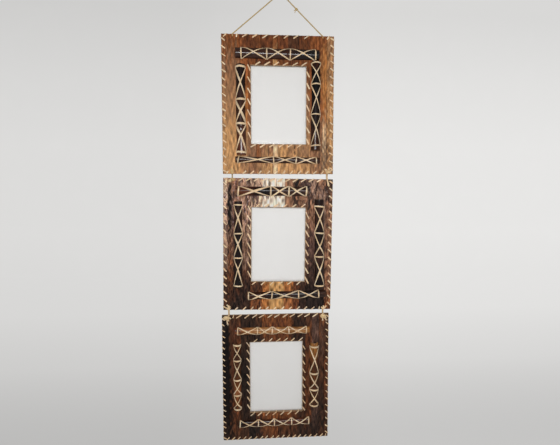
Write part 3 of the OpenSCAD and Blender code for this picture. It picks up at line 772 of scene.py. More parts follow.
def over_edge(p, edge, hole, back, start=0.0):
    """The line of a strand from its front hole over the edge and down to a hole behind.

    hole and back are each the run along the edge and the reach in from it."""
    f = np.array([0.0, 0.06, 0.16, 0.35, 0.6, 0.82, 0.95])
    run, z = start + hole[0] * (1 - f), -hole[1] * (1 - f)
    y = bark_of(p).face_y(edge.place(run, 0, z)) - RAFFIA_T * 0.45 - 0.22 * np.sin(math.pi * f)
    y[:2] += (1.3, 0.35)
    front = edge.place(run, y, z)
    top = edge.place(start, (y[-1] + 0.5, -2.6, -0.5), (0.28, 0.5, 0.35))
    g = np.array([0.06, 0.3, 0.65, 0.93, 1.0])
    behind = edge.place(start + back[0] * g, (0.3, 0.45, 0.48, 0.3, -0.8), -back[1] * g)
    out = edge.ways((-1, 0, 6), (-0.8, 0.6, 1), (-0.5, 0.9, 1), (0, 1, 1), (0.5, 0.9, 1), (1, 0, 5))
    return smooth_line(np.vstack([front, top, behind]), 2), unit(smooth_line(out, 2))


def stitch_run(mesher, p, edge, count, legs, stops, seed, thin):
    """Whips a strand over an edge. No strand comes nearer to a stop than the stop's room."""
    rng = np.random.default_rng(seed)
    pitch = edge.length / count
    half_turn = 1.2 * math.hypot(*legs) / legs[1]
    for n in range(count):
        spot = (n + 0.5) * pitch - edge.length / 2
        before = min([legs[0]] + [spot - stop - room - half_turn for stop, room in stops if stop <= spot])
        rest = max(pitch - legs[0], 2)
        past = min([rest] + [stop - spot - room - half_turn for stop, room in stops if stop > spot])
        if before <= 0 or past <= 0:
            continue
        spot += rng.normal(0, 0.35)
        hole = (-before * rng.uniform(0.86, 1.04), legs[1] * rng.uniform(0.88, 1.06))
        line, out = over_edge(p, edge, hole, (past, legs[1]), spot)
        width = look().strand_width * 1000 * rng.uniform(0.85, 1.15) * thin
        width = width * (1 + 0.12 * np.sin(np.linspace(0, 8, len(line)) + rng.uniform(0, 6)))
        tone = raffia_tone(rng, warmest=0.3)
        ribbon(mesher, line, out, width, RAFFIA_T * 0.9, tone, rng.integers(1, 900))


def whipping(p, edges, counts, legs, stops, seed, thin):
    """Whips a panel's or a window's four edges, each with its own count, legs and stops."""
    mesher = Mesher()
    for n, edge in enumerate(edges):
        stitch_run(mesher, p, edge, counts[n], legs[n], stops[n], seed + 10 * p + n, thin)
    return mesher


def stops_on(length, ties=()):
    """The stops on an edge: its two ends and the ties on it, each with its room."""
    return [(-length / 2, HOLE_ROOM), (length / 2, HOLE_ROOM), *[(tie, TIE_ROOM) for tie in ties]]


def add_node(tree, kind, inputs=None, **settings):
    """Adds a shader node, with its settings and its inputs' values or links."""
    node = tree.nodes.new("ShaderNode" + kind)
    for name, value in settings.items():
        setattr(node, name, value)
    for name, value in (inputs or {}).items():
        if isinstance(value, bpy.types.NodeSocket):
            tree.links.new(value, node.inputs[name])
        else:
            node.inputs[name].default_value = value
    return node


def calculated(tree, operation, *values, **settings):
    """The result of a Math node."""
    return add_node(tree, "Math", dict(enumerate(values)), operation=operation, **settings).outputs[0]


def new_group(name, output, **values):
    """A shader node group with the grain and named values as inputs, and one output."""
    tree = bpy.data.node_groups.new(name, "ShaderNodeTree")
    tree.interface.new_socket(name="Grain", in_out="INPUT", socket_type="NodeSocketVector")
    for label, default in values.items():
        socket = tree.interface.new_socket(name=label, in_out="INPUT", socket_type="NodeSocketFloat")
        socket.default_value = default
    tree.interface.new_socket(name=output, in_out="OUTPUT", socket_type="NodeSocketFloat")
    return tree, tree.nodes.new("NodeGroupInput").outputs, tree.nodes.new("NodeGroupOutput").inputs[0]


def stretched_noise(tree, source, detail, rough):
    """Noise whose features have a size across the grain and another along it."""
    split = add_node(tree, "SeparateXYZ", {0: source["Grain"]}).outputs
    x = calculated(tree, "DIVIDE", split["X"], source["Across"])
    y = calculated(tree, "MULTIPLY", split["Y"], 1.73)
    z = calculated(tree, "DIVIDE", split["Z"], source["Along"])
    place = add_node(tree, "CombineXYZ", {0: x, 1: y, 2: z}).outputs[0]
    inputs = {"Vector": place, "Scale": 1.0, "Detail": detail, "Roughness": rough}
    return add_node(tree, "TexNoise", inputs).outputs[0]


def fibre_grain_group(name):
    """Fibres that run along a piece: a mask of streaks from 0 to 1."""
    tree, source, result = new_group(name, "Streak", Across=1.0, Along=25.0, Contrast=1.0)
    away = calculated(tree, "SUBTRACT", stretched_noise(tree, source, 4, 0.6), 0.5)
    more = calculated(tree, "MULTIPLY", source["Contrast"], 2.2)
    tree.links.new(calculated(tree, "MULTIPLY_ADD", away, more, 0.5, use_clamp=True), result)
    return tree


def mottle_group(name):
    """Blots and flecks: a mask from 0 to 1 with soft borders."""
    tree, source, result = new_group(name, "Mask", Across=2.0, Along=5.0, Cover=0.5, Softness=0.12)
    level = calculated(tree, "SUBTRACT", 0.72, calculated(tree, "MULTIPLY", 0.86, source["Cover"]))
    inputs = {
        "Value": stretched_noise(tree, source, 3, 0.55),
        "From Min": calculated(tree, "SUBTRACT", level, source["Softness"]),
        "From Max": calculated(tree, "ADD", level, source["Softness"]),
    }
    tree.links.new(add_node(tree, "MapRange", inputs, interpolation_type="SMOOTHSTEP").outputs[0], result)
    return tree


EFFECTS = {"Fibre Grain": fibre_grain_group, "Mottle": mottle_group}
MIX_FACTOR, MIX_FIRST, MIX_SECOND, MIX_RESULT = 0, 6, 7, 2


class Paint:
    """Builds one procedural material: its colour, roughness and relief from shared groups."""

    def __init__(self, name, grain=True):
        self.material = bpy.data.materials.new(name)
        self.material.use_nodes = True
        self.tree = self.material.node_tree
        self.shader = self.tree.nodes["Principled BSDF"]
        if grain:
            self.grain = self.attribute("grain", "Vector")
        else:
            self.grain = self.tinted(add_node(self.tree, "TexCoord").outputs["Object"], (1000, 1000, 1000))

    def attribute(self, name, output="Color"):
        """A value painted on the mesh."""
        return add_node(self.tree, "Attribute", attribute_name=name).outputs[output]

    def effect(self, group, **values):
        """A mask from a shared group, with this material's own values."""
        tree = bpy.data.node_groups.get(group) or EFFECTS[group](group)
        inputs = {"Grain": self.grain, **{name.capitalize(): value for name, value in values.items()}}
        return add_node(self.tree, "Group", inputs, node_tree=tree).outputs[0]

    def streaks(self, across, along, contrast=1.0):
        """Fibres of a width and a length in millimetres."""
        return self.effect("Fibre Grain", across=across, along=along, contrast=contrast)

    def mottle(self, across, along, cover, softness):
        """Blots of a width and a height in millimetres that cover a share of the surface."""
        return self.effect("Mottle", across=across, along=along, cover=cover, softness=softness)

    def sum_of(self, base, *terms):
        """base plus each mask times its strength, counted from the mask's middle."""
        total = base - sum(strength for _, strength in terms) / 2
        for mask, strength in terms:
            total = calculated(self.tree, "MULTIPLY_ADD", mask, strength, total)
        return total

    def product(self, first, second):
        """Two masks, one within the other."""
        return calculated(self.tree, "MULTIPLY", first, second)

    def shaded(self, colour, factor):
        """A colour, brighter or darker by a factor."""
        return add_node(self.tree, "VectorMath", {0: colour, "Scale": factor}, operation="SCALE").outputs[0]

    def tinted(self, colour, tint):
        """A colour times a tint."""
        return add_node(self.tree, "VectorMath", {0: colour, 1: tint}, operation="MULTIPLY").outputs[0]

    def raised(self, colour, light):
        """A colour with light added to it."""
        return add_node(self.tree, "VectorMath", {0: colour, 1: light}, operation="ADD").outputs[0]

    def mixed(self, first, second, share):
        """The first colour turned to the second by a mask."""
        colours = [
            value if isinstance(value, bpy.types.NodeSocket) else (*value, 1.0) for value in (first, second)
        ]
        inputs = {MIX_FACTOR: share, MIX_FIRST: colours[0], MIX_SECOND: colours[1]}
        return add_node(self.tree, "Mix", data_type="RGBA", inputs=inputs).outputs[MIX_RESULT]

    def stained(self, colour, tint, mask):
        """A colour, tinted within a mask."""
        return self.mixed(colour, self.tinted(colour, tint), mask)

    def finish(self, colour=None, rough=None, height=None, relief=0.0002, plain=None):
        """Joins the colour, roughness and relief to the shader and sets its plain values."""
        joined = {"Base Color": colour, "Roughness": rough}
        if height is not None:
            inputs = {"Height": height, "Distance": relief, "Strength": 0.8}
            joined["Normal"] = add_node(self.tree, "Bump", inputs).outputs[0]
        for name, value in joined.items():
            if value is not None:
                self.tree.links.new(value, self.shader.inputs[name])
        for name, value in (plain or {}).items():
            self.shader.inputs[name].default_value = value
        return self.material


def bark_material(settings):
    """Dried bark: streaks and flecks along each strip, dark seams at its curled edges that are partly dark
    joints and partly painted shade, pale flecks that are partly painted highlight, and a satin sheen.
    """
    paint = Paint("Dried Bark")
    amount = paint.attribute("tone", "Alpha")
    fine = paint.streaks(0.8, 30, 1.3)
    broad = paint.streaks(2.6, 60, 1.4)
    cloud = paint.streaks(7.0, 34, 1.4)
    fleck = paint.mottle(1.3, 4.2, 0.3, 0.12)
    scorch = paint.mottle(2.8, 13, 0.21, 0.05)
    pale = paint.mottle(2.4, 12, 0.3, 0.08)
    peel = paint.mottle(3.0, 6, 0.16, 0.04)
    streaks = settings.bark_streaks
    factor = paint.sum_of(1.12, (fine, 0.32 * streaks), (broad, 0.34 * streaks), (cloud, 0.4 * streaks))
    colour = paint.shaded(paint.attribute("tone"), factor)
    colour = paint.stained(colour, (1.06, 0.97, 0.88), cloud)
    colour = paint.stained(colour, (0.66, 0.58, 0.54), paint.product(fleck, amount))
    colour = paint.stained(colour, (0.17, 0.13, 0.18), paint.product(scorch, amount))
    # Pale flecks: partly paler bark and partly painted highlight.
    pale_fleck_and_highlight = paint.raised(paint.tinted(colour, (1.4, 1.4, 1.4)), (0.02, 0.013, 0.01))
    colour = paint.mixed(colour, pale_fleck_and_highlight, paint.product(pale, amount))
    torn = calculated(paint.tree, "MULTIPLY_ADD", amount, 2.5, -2.25, use_clamp=True)
    bare = paint.raised(paint.tinted(colour, (1.1, 1.1, 1.2)), (0.14, 0.11, 0.11))
    colour = paint.mixed(colour, bare, paint.product(peel, torn))
    # The mark darkens the seams between strips, partly their dark joints and partly painted shade, and the
    # side walls and backs.
    colour = paint.stained(colour, (0.35, 0.28, 0.25), paint.attribute("mark", "Fac"))
    rough = paint.sum_of(settings.bark_roughness, (fine, 0.16), (fleck, 0.12))
    height = paint.sum_of(0.5, (fine, 0.7), (broad, 0.5), (fleck, 0.35))
    return paint.finish(colour, rough, height, 0.0005, {"Specular IOR Level": 0.12})


def bamboo_material(settings):
    """Polished split bamboo: fine fibres and dark mottling under a glossy skin."""
    paint = Paint("Split Bamboo")
    fine = paint.streaks(0.45, 30, 1.1)
    broad = paint.streaks(2.2, 38, 1.1)
    spot = paint.mottle(3.0, 9, 0.35, 0.12)
    worn = paint.mottle(4.0, 22, 0.25, 0.15)
    colour = paint.shaded(paint.attribute("tone"), paint.sum_of(1.0, (fine, 0.4), (broad, 0.55)))
    colour = paint.stained(colour, (0.62, 0.52, 0.48), spot)
    colour = paint.mixed(colour, (0.42, 0.29, 0.15), paint.attribute("mark", "Fac"))
    rough = paint.sum_of(0.3, (fine, 0.08), (spot, 0.12))
    height = paint.sum_of(0.5, (fine, 0.5), (broad, 0.3))
    polish = paint.sum_of(settings.bamboo_polish - 0.1, (worn, -0.3))
    gloss = paint.product(paint.attribute("tone", "Alpha"), polish)
    paint.tree.links.new(gloss, paint.shader.inputs["Coat Weight"])
    plain = {"Coat Roughness": 0.12, "Coat IOR": 1.38, "Specular IOR Level": 0.1}
    return paint.finish(colour, rough, height, 0.00004, plain)


def raffia_material(settings):
    """Dry raffia: pale fibres along each strand, darker in the hollows between them, partly their own tone
    and partly painted shade, and browner in patches.
    """
    paint = Paint("Raffia")
    fine = paint.streaks(0.22, 14, 1.3)
    broad = paint.streaks(0.8, 11, 1.1)
    # Darker where the fibres' relief is low: partly the fibres' own tone, partly painted shade in the
    # hollows.
    colour = paint.shaded(paint.attribute("tone"), paint.sum_of(0.98, (fine, 0.3), (broad, 0.22)))
    colour = paint.stained(colour, (0.86, 0.74, 0.56), paint.mottle(2.5, 7, 0.3, 0.15))
    height = paint.sum_of(0.5, (fine, 0.8), (broad, 0.4))
    return paint.finish(colour, paint.sum_of(0.6, (fine, 0.2)), height, 0.0002, {"Sheen Weight": 0.15})


def twine_material(settings):
    """Twisted plant fibre, golden tan, with loose fibres across each ply."""
    paint = Paint("Twisted Twine")
    fine = paint.streaks(0.16, 5, 1.4)
    broad = paint.streaks(0.7, 30)
    colour = paint.shaded(paint.attribute("tone"), paint.sum_of(0.95, (fine, 0.45), (broad, 0.3)))
    height = paint.sum_of(0.5, (fine, 0.9))
    return paint.finish(colour, paint.sum_of(0.72, (fine, 0.15)), height, 0.00025, {"Sheen Weight": 0.2})


def board_material(settings):
    """Raw pressed board: flattened brown fibres with paler flecks and a dusty face."""
    paint = Paint("Pressed Board", grain=False)
    chips = paint.mottle(1.6, 2.4, 0.4, 0.1)
    fine = paint.streaks(0.4, 0.9)
    base = tuple(settings.board_tone)
    colour = paint.mixed(base, [min(tone * 1.35, 1.0) for tone in base], chips)
    colour = paint.stained(colour, (0.84, 0.8, 0.74), paint.mottle(28, 40, 0.5, 0.25))
    colour = paint.shaded(colour, paint.sum_of(1.0, (fine, 0.3)))
    height = paint.sum_of(0.5, (fine, 0.6), (chips, 0.3))
    return paint.finish(colour, paint.sum_of(0.8, (fine, 0.15)), height, 0.00015)


def card_material(settings):
    """Plain off-white card with a faint tooth and slight unevenness."""
    paint = Paint("Plain Card", grain=False)
    tooth = paint.streaks(0.5, 0.8)
    base = add_node(paint.tree, "RGB").outputs[0]
    base.default_value = (*settings.card_tone, 1.0)
    colour = paint.stained(base, (0.975, 0.97, 0.965), paint.mottle(30, 45, 0.5, 0.3))
    colour = paint.stained(colour, (0.9, 0.89, 0.88), paint.mottle(2.2, 2.6, 0.06, 0.04))
    return paint.finish(colour, paint.sum_of(0.55, (tooth, 0.1)), paint.sum_of(0.5, (tooth, 0.5)), 0.00006)


def pane_material(settings):
    """Thin clear pane, nearly invisible, with a gloss and the faintest smears."""
    paint = Paint("Clear Pane", grain=False)
    smear = paint.sum_of(0.06, (paint.mottle(22, 34, 0.4, 0.2), 0.05))
    plain = {"Base Color": (0.93, 0.95, 0.95, 1), "Alpha": settings.pane_alpha, "IOR": 1.49}
    return paint.finish(rough=smear, plain=plain)


def material(name, maker):
    """The material of that name, made by its maker the first time."""
    return bpy.data.materials.get(name) or maker(look())


def set_material(node, finish):
    """Gives a CAD node its finish."""
    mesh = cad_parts[node].data
    mesh.materials.clear()
    mesh.materials.append(finish)


class BambooFrameSettings(bpy.types.PropertyGroup):
    """Sizes and colours of the frame's dressing."""

    bark_lift: FloatProperty(
        name="Bark Lift", description="How far a strip's edge lifts where it laps over its neighbour",
        default=0.0004, min=0.0, max=0.001, precision=5, unit="LENGTH",
    )
    bark_ragged: FloatProperty(
        name="Ragged Edges", description="How far the strips' edges wander",
        default=0.0003, min=0.0, max=0.001, precision=5, unit="LENGTH",
    )
    bark_seed: IntProperty(
        name="Bark Seed", description="Number that sets the bark's random relief", default=41,
    )
    bark_streaks: FloatProperty(
        name="Bark Streaks", description="Strength of the streaks and flecks in the bark",
        default=1.0, min=0.0, max=2.0, subtype="FACTOR",
    )
    bark_roughness: FloatProperty(
        name="Bark Roughness", description="Middle roughness of the bark's satin face",
        default=0.5, min=0.1, max=1.0, subtype="FACTOR",
    )
    bamboo_polish: FloatProperty(
        name="Bamboo Polish", description="Weight of the glossy skin on the split bamboo",
        default=0.9, min=0.0, max=1.0, subtype="FACTOR",
    )
    strand_width: FloatProperty(
        name="Raffia Width", description="Width of a raffia strand",
        default=0.0028, min=0.001, max=0.004, precision=5, unit="LENGTH",
    )
    raffia_tone: FloatVectorProperty(
        name="Raffia Colour", description="Middle colour of the raffia",
        default=(0.80, 0.69, 0.51), size=3, min=0.0, max=1.0, subtype="COLOR",
    )
    twine_pitch: FloatProperty(
        name="Twine Pitch", description="Length of one turn of the twine's plies",
        default=0.006, min=0.003, max=0.02, precision=4, unit="LENGTH",
    )
    twine_tone: FloatVectorProperty(
        name="Twine Colour", description="Middle colour of the twine",
        default=(0.56, 0.40, 0.17), size=3, min=0.0, max=1.0, subtype="COLOR",
    )
    board_tone: FloatVectorProperty(
        name="Board Colour", description="Colour of the pressed board",
        default=(0.24, 0.145, 0.075), size=3, min=0.0, max=1.0, subtype="COLOR",
    )
    card_tone: FloatVectorProperty(
        name="Card Colour", description="Colour of the plain card in each window",
        default=(0.76, 0.75, 0.735), size=3, min=0.0, max=1.0, subtype="COLOR",
    )
    pane_alpha: FloatProperty(
        name="Pane Density", description="How much of the clear pane shows",
        default=0.05, min=0.0, max=1.0, subtype="FACTOR",
    )
    wall_tone: FloatVectorProperty(
        name="Backdrop Colour", description="Colour of the backdrop and floor",
        default=(0.74, 0.735, 0.725), size=3, min=0.0, max=1.0, subtype="COLOR",
    )
    lamp_power: FloatProperty(
        name="Lamp Power", description="Power of the narrow lamp beside the camera",
        default=5.8, min=0.0, max=50.0, unit="POWER",
    )
    fill_power: FloatProperty(
        name="Fill Power", description="Power of the wide soft lamp in front of the frame",
        default=4.3, min=0.0, max=50.0, unit="POWER",
    )
    room_light: FloatProperty(
        name="Room Light", description="Strength of the even light from all round",
        default=0.25, min=0.0, max=2.0,
    )
    lens: FloatProperty(
        name="Lens", description="Focal length of the camera",
        default=20.295, min=10.0, max=100.0, unit="CAMERA",
    )


class BAMBOOFRAME_OT_camera(bpy.types.Operator):
    """Set up the camera in front of the frame"""

    bl_idname = "bamboo_frame.camera"
    bl_label = "Camera"

    def execute(self, context):
        pitch, yaw, roll = [math.radians(turn) for turn in CAMERA_TURNS]
        ahead = Vector((math.sin(yaw) * math.cos(pitch), math.cos(yaw) * math.cos(pitch), -math.sin(pitch)))
        level = Vector((math.cos(yaw), -math.sin(yaw), 0))
        up = level.cross(ahead)
        right = math.cos(roll) * level + math.sin(roll) * up
        top = math.cos(roll) * up - math.sin(roll) * level
        data = bpy.data.cameras.new("Camera")
        data.sensor_width = 36
        data.sensor_fit = "HORIZONTAL"
        data.lens = look().lens
        data.clip_start = 0.01
        camera = bpy.data.objects.new("Camera", data)
        turn = Matrix((right, top, -ahead)).transposed().to_4x4()
        camera.matrix_world = Matrix.Translation(CAMERA_PLACE) @ turn
        context.scene.collection.objects.link(camera)
        context.scene.camera = camera
        return {"FINISHED"}


class BAMBOOFRAME_OT_twine(bpy.types.Operator):
    """Lay the twine loop, its knot and its feet on the top panel"""

    bl_idname = "bamboo_frame.twine"
    bl_label = "Twine Loop"

    def execute(self, context):
        tone = np.array(look().twine_tone)
        pitch = look().twine_pitch * 1000
        twine = material("Twisted Twine", twine_material)
        route = np.array([(x, 0, z) for x, z in TWINE])
        line = smooth_line(route, 14)
        loop = Mesher()
        twisted_cord(loop, line, TWINE_RADIUS, pitch, tone, 3)
        loop = loop.dress("twine_loop", twine, "twine", "hanging_twine", "hanger")

        knot = Mesher()
        way = unit(route[KNOT_AT + 1] - route[KNOT_AT])
        middle = (route[KNOT_AT] + route[KNOT_AT + 1]) / 2
        side = np.cross(way, (0, 1, 0))
        t = np.linspace(0, 1, 60)[:, None]
        turn = math.tau * 3 * t
        out = side * np.cos(turn) + np.array((0, 1, 0)) * np.sin(turn)
        wraps = middle + way * (t - 0.5) * 4.2 + out * 2.0
        ribbon(knot, wraps, out, 1.5, 1.3, tone * 1.05, 11, 8, 0.9)
        for length, lean in ((7.0, 0.35), (5.0, -0.25)):
            t = np.linspace(0, 1, 9)[:, None]
            tail = middle + side * (-1.2 - length * t) + way * lean * length * t * (1 + t) * 0.6
            twisted_cord(knot, tail, 0.75, 4.0, tone * 1.08, 21, (0.2, 1, 0.1))
        knot = knot.dress("twine_loop_knot", twine, "twine", "twine_knot", "hanger")
        length = float(np.linalg.norm(np.diff(line, axis=0), axis=1).sum()) / 1000

        feet = Mesher()
        for x in TWINE_X:
            edge = EdgeLine(across(0, x, 1), HALF_H, 0)
            strand, _ = over_edge(0, edge, (0.4, 5), (0, 7))
            twisted_cord(feet, smooth_line(strand, 2), 0.85, 4.5, tone * 1.15, 31, (1, 0, 0.05))
            rise = np.linspace(-0.6, FLEX_OUT + 0.3, 12)
            twisted_cord(feet, edge.place(0, -0.2 * np.cos(rise), rise), 1.15, pitch, tone, 41)
            wound_knot(feet, edge.place(0, 1.6, -6.5), (2.7, 1.9, 2.6), 1.2, 4, tone, 51)
            t = np.linspace(0, 1, 8)
            twisted_cord(feet, edge.place(2.2 * t, 1.4 + 0.3 * t, -6 - 5.5 * t), 0.8, 4.0, tone * 1.1, 61)
        feet.dress("twine_foot_loops", twine, "twine", "twine_feet", "top_panel", 0)
        return {"FINISHED"}


class BAMBOOFRAME_OT_boards(bpy.types.Operator):
    """Finish the front boards, pocket strips and back boards in pressed board"""

    bl_idname = "bamboo_frame.boards"
    bl_label = "Boards"

    def execute(self, context):
        for panel in PANELS:
            for part in BOARD_PARTS:
                set_material(f"{panel}_{part}", material("Pressed Board", board_material))
        return {"FINISHED"}


class BAMBOOFRAME_OT_pockets(bpy.types.Operator):
    """Finish the clear panes and the plain picture cards"""

    bl_idname = "bamboo_frame.pockets"
    bl_label = "Panes and Cards"

    def execute(self, context):
        for panel in PANELS:
            set_material(f"{panel}_window_pane", material("Clear Pane", pane_material))
            set_material(f"{panel}_picture_card", material("Plain Card", card_material))
        return {"FINISHED"}


class BAMBOOFRAME_OT_bark(bpy.types.Operator):
    """Clad each panel with upright strips of dried bark"""

    bl_idname = "bamboo_frame.bark"
    bl_label = "Bark Strips"

    def execute(self, context):
        finish = material("Dried Bark", bark_material)
        for p, panel in enumerate(PANELS):
            mesher = Mesher()
            for n in range(bark_of(p).count):
                bark_of(p).strip(mesher, n)
            slot, node = f"{panel}_bark", f"{panel}_bark_strips"
            mesher.dress(f"{panel}_bark_cladding", finish, slot, node, f"{panel}_panel", p)
        return {"FINISHED"}


class BAMBOOFRAME_OT_rods(bpy.types.Operator):
    """Lay four split-bamboo rods on each panel"""

    bl_idname = "bamboo_frame.rods"
    bl_label = "Split Bamboo"

    def execute(self, context):
        finish = material("Split Bamboo", bamboo_material)
        for p, panel in enumerate(PANELS):
            for side in RODS:
                mesher = Mesher()
                Rod(p, side).body(mesher)
                name, node = f"{panel}_{side}_bamboo", f"{panel}_{side}_rod"
                mesher.dress(name, finish, ROD_SLOTS[p], node, f"{panel}_panel", p)
        return {"FINISHED"}


class BAMBOOFRAME_OT_lashings(bpy.types.Operator):
    """Lash the rods down with bands and crosses of raffia"""

    bl_idname = "bamboo_frame.lashings"
    bl_label = "Raffia Lashings"

    def execute(self, context):
        finish = material("Raffia", raffia_material)
        for p, panel in enumerate(PANELS):
            mesher = Mesher()
            for side in RODS:
                Rod(p, side).lashing(mesher)
            name, node = f"{panel}_raffia_lashings", f"{panel}_rod_lashings"
            mesher.dress(name, finish, "raffia", node, f"{panel}_panel", p)
        return {"FINISHED"}


class BAMBOOFRAME_OT_whipping(bpy.types.Operator):
    """Whip raffia over the outer edges of the panels"""

    bl_idname = "bamboo_frame.whipping"
    bl_label = "Edge Whipping"

    def execute(self, context):
        finish = material("Raffia", raffia_material)
        head_cords = (TWINE_X, UPPER_TIE_X, LOWER_TIE_X)
        sill_cords = (UPPER_TIE_X, LOWER_TIE_X, ())
        for p, panel in enumerate(PANELS):
            head = stops_on(PANEL_W, [across(p, x, 1) for x in head_cords[p]])
            sill = stops_on(PANEL_W, [-across(p, x, -1) for x in sill_cords[p]])
            legs = (HEAD_LEG, STILE_LEGS[p], SILL_LEG, STILE_LEGS[p])
            stops = (head, stops_on(PANEL_H), sill, stops_on(PANEL_H))
            edges = edges_round(0, 0, PANEL_W, PANEL_H)
            mesher = whipping(p, edges, EDGE_STITCHES[p], legs, stops, 300, EDGE_WIDTHS[p])
            name, node = f"{panel}_edge_whipping", f"{panel}_edge_lacing"
            mesher.dress(name, finish, "raffia", node, f"{panel}_panel", p)
        return {"FINISHED"}


class BAMBOOFRAME_OT_window_whipping(bpy.types.Operator):
    """Whip raffia over the windows' edges, round a core strand that trims them"""

    bl_idname = "bamboo_frame.window_whipping"
    bl_label = "Window Whipping"

    def execute(self, context):
        finish = material("Raffia", raffia_material)
        edges = edges_round(WINDOW_X, WINDOW_Z, WINDOW_W, WINDOW_H, 180, 2 * RAFFIA_T)
        for p, panel in enumerate(PANELS):
            legs = (WINDOW_RAIL_LEGS[p], WINDOW_STILE_LEGS[p]) * 2
            mesher = whipping(p, edges, WINDOW_STITCHES[p], legs, ((),) * 4, 400, WINDOW_WIDTHS[p])
            name, node = f"{panel}_window_whipping", f"{panel}_window_lacing"
            mesher.dress(name, finish, "raffia", node, f"{panel}_panel", p)

            core = Mesher()
            rng = np.random.default_rng(500 + p)
            tone = raffia_tone(rng, 0.05) * (0.42, 0.36, 0.3)
            for k, edge in enumerate(edges):
                run = np.linspace(-edge.length / 2 - 0.4, edge.length / 2 + 0.4, 60)
                sag = waves(rng, 3, LEVEL, (14, 50))(0, run)
                y = bark_of(p).face_y(edge.place(run, 0, 0)) + 0.15 + 0.1 * sag
                line = edge.place(run, y, 0.15 + 0.12 * sag)
                ribbon(core, line, edge.ways((-0.8, 0.6, len(run))), 1.1, 0.9, tone, 70 + k)
            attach(core.piece(f"{panel}_window_trim", finish, "raffia", p), f"{panel}_panel")
        return {"FINISHED"}


class BAMBOOFRAME_OT_ties(bpy.types.Operator):
    """Tie the panels together with raffia, knotted at the panels' edges"""

    bl_idname = "bamboo_frame.ties"
    bl_label = "Raffia Ties"

    def execute(self, context):
        finish = material("Raffia", raffia_material)
        for node, name, p, ends in TIE_ENDS:
            mesher = Mesher()
            rng = np.random.default_rng(600 + p + len(name))
            for x, side, holes, knot, tails in ends:
                # Ends of the upper left ties are darker and more olive; the other ends are paler.
                end_tint = OLIVE_END_RAFFIA if x == UPPER_TIE_X[0] else PALE_END_RAFFIA
                edge = EdgeLine(across(p, x, side), side * HALF_H, 0 if side > 0 else 180)
                for k, hole in enumerate(holes):
                    line, out = over_edge(p, edge, hole, (0.6 * k - 0.4, 8), 0.5 * k - 0.4)
                    ribbon(mesher, line, out, 3.2, RAFFIA_T, raffia_tone(rng, 0.14) * end_tint, 10 + k)
                behind = edge.place(0, 1.5, -6.5)
                wound_knot(mesher, behind, (2.6, 1.8, 2.6), 1.5, 4, raffia_tone(rng), 20 + p)
                start, aside = 6.0, 0.0
                if knot:
                    start, aside = knot[3:]
                    spot = edge.place(aside, BARK_Y - 0.62 * knot[1], -start)
                    tone = raffia_tone(rng, 0.05) * (0.9, 0.84, 0.7)
                    wound_knot(mesher, spot, knot[:3], 1.9, 7, tone, 30 + p)
                for length, turn in tails:
                    tone = raffia_tone(rng, 0.1)
                    self.tail(mesher, p, edge, (aside, start), length, math.radians(turn), tone)
            mesher.dress(name, finish, "raffia", node, f"{PANELS[p]}_panel", p)
        for high, name, xs in ((0, "upper", UPPER_TIE_X), (1, "lower", LOWER_TIE_X)):
            for x, hand in zip(xs, ("left", "right")):
                self.tie(high, name, hand, x, finish)
        return {"FINISHED"}

    @staticmethod
    def tail(mesher, p, edge, start, length, turn, tone):
        """A loose end that lies on the bark and frays at its tip."""
        t = np.linspace(0, 1, 14)
        for k in range(3):
            bend = (k - 1) * (0.9 + 1.2 * t) * t + 0.6 * np.sin(t * 2.6 + k) * t
            far = length * (1 - 0.12 * abs(k - 1)) * t
            run = start[0] + far * math.sin(turn) + bend * math.cos(turn)
            z = far * math.cos(turn) - bend * math.sin(turn) - start[1]
            y = bark_of(p).face_y(edge.place(run, 0, z)) - 0.9 + 0.35 * t
            out = edge.ways((-1, 0, len(t)))
            ribbon(mesher, edge.place(run, y, z), out, 1.7 - 0.9 * t, 0.6, tone * (1 - 0.05 * k), 40 + k)

    @staticmethod
    def tie(high, name, hand, x, finish):
        """The two halves of one tie, each from its own panel's edge to the middle of the gap."""
        rng = np.random.default_rng(700 + high * 7 + len(hand))
        upper, lower, ties = f"{PANELS[high]}_panel", f"{PANELS[high + 1]}_panel", f"{name}_ties"
        top, foot = [
            in_panel(p, [[across(p, x, side), 0, side * HALF_H]])[0][2] * 1000
            for p, side in ((high, -1), (high + 1, 1))
        ]
        top_flex, foot_flex = top - FLEX_OUT, foot + FLEX_OUT
        middle = (top_flex + foot_flex) / 2
        spread, shade = TIE_LOOKS[name, hand]
        # The tie's tone; on the upper left tie it is painted shade.
        tone = raffia_tone(rng, 0.06) * shade
        halves = (
            (f"{name}_{hand}_tie_head", top + 1.4, middle, upper, ties, top_flex),
            (f"{name}_{hand}_tie_foot", middle, foot - 1.4, ties, lower, foot_flex),
        )
        for label, start, end, first, second, flex in halves:
            mesher = Mesher()
            z = np.linspace(start, end, 22)
            line = np.column_stack([x + 0 * z, -0.15 * np.sin((z - middle) / 3), z])
            for k in range(3):
                turn = math.tau * ((z - middle) / 9 + k / 3)
                out = np.column_stack([np.cos(turn), np.sin(turn), 0 * turn])
                strand = line + out * (0.7 * spread, 0.7, 0)
                ribbon(mesher, strand, out, 1.5 + 0.3 * spread, 0.9, tone * (1 - 0.09 * k), 80 + k)
            piece = mesher.piece(label, finish, "raffia")
            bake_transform(piece)
            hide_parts(f"{name}_{hand}_tie")


# Where the backdrop's painted light starts and ends in height and to each side, in millimetres, its painted
# light level at each share of that height (brightest in the middle, darker to the foot and top), the level
# that counts as 1, and how much of it glows.
BACKDROP_FOOT, BACKDROP_TOP, BACKDROP_SIDE = -1900.0, 1100.0, 600.0
BACKDROP_LEVELS = (
    (0.03, 0.8), (0.1, 0.99), (0.2, 1.11), (0.4, 1.17), (0.62, 1.17), (0.78, 1.11), (0.95, 1.01),
)
BRIGHTEST = 1.2
GLOW = 0.85


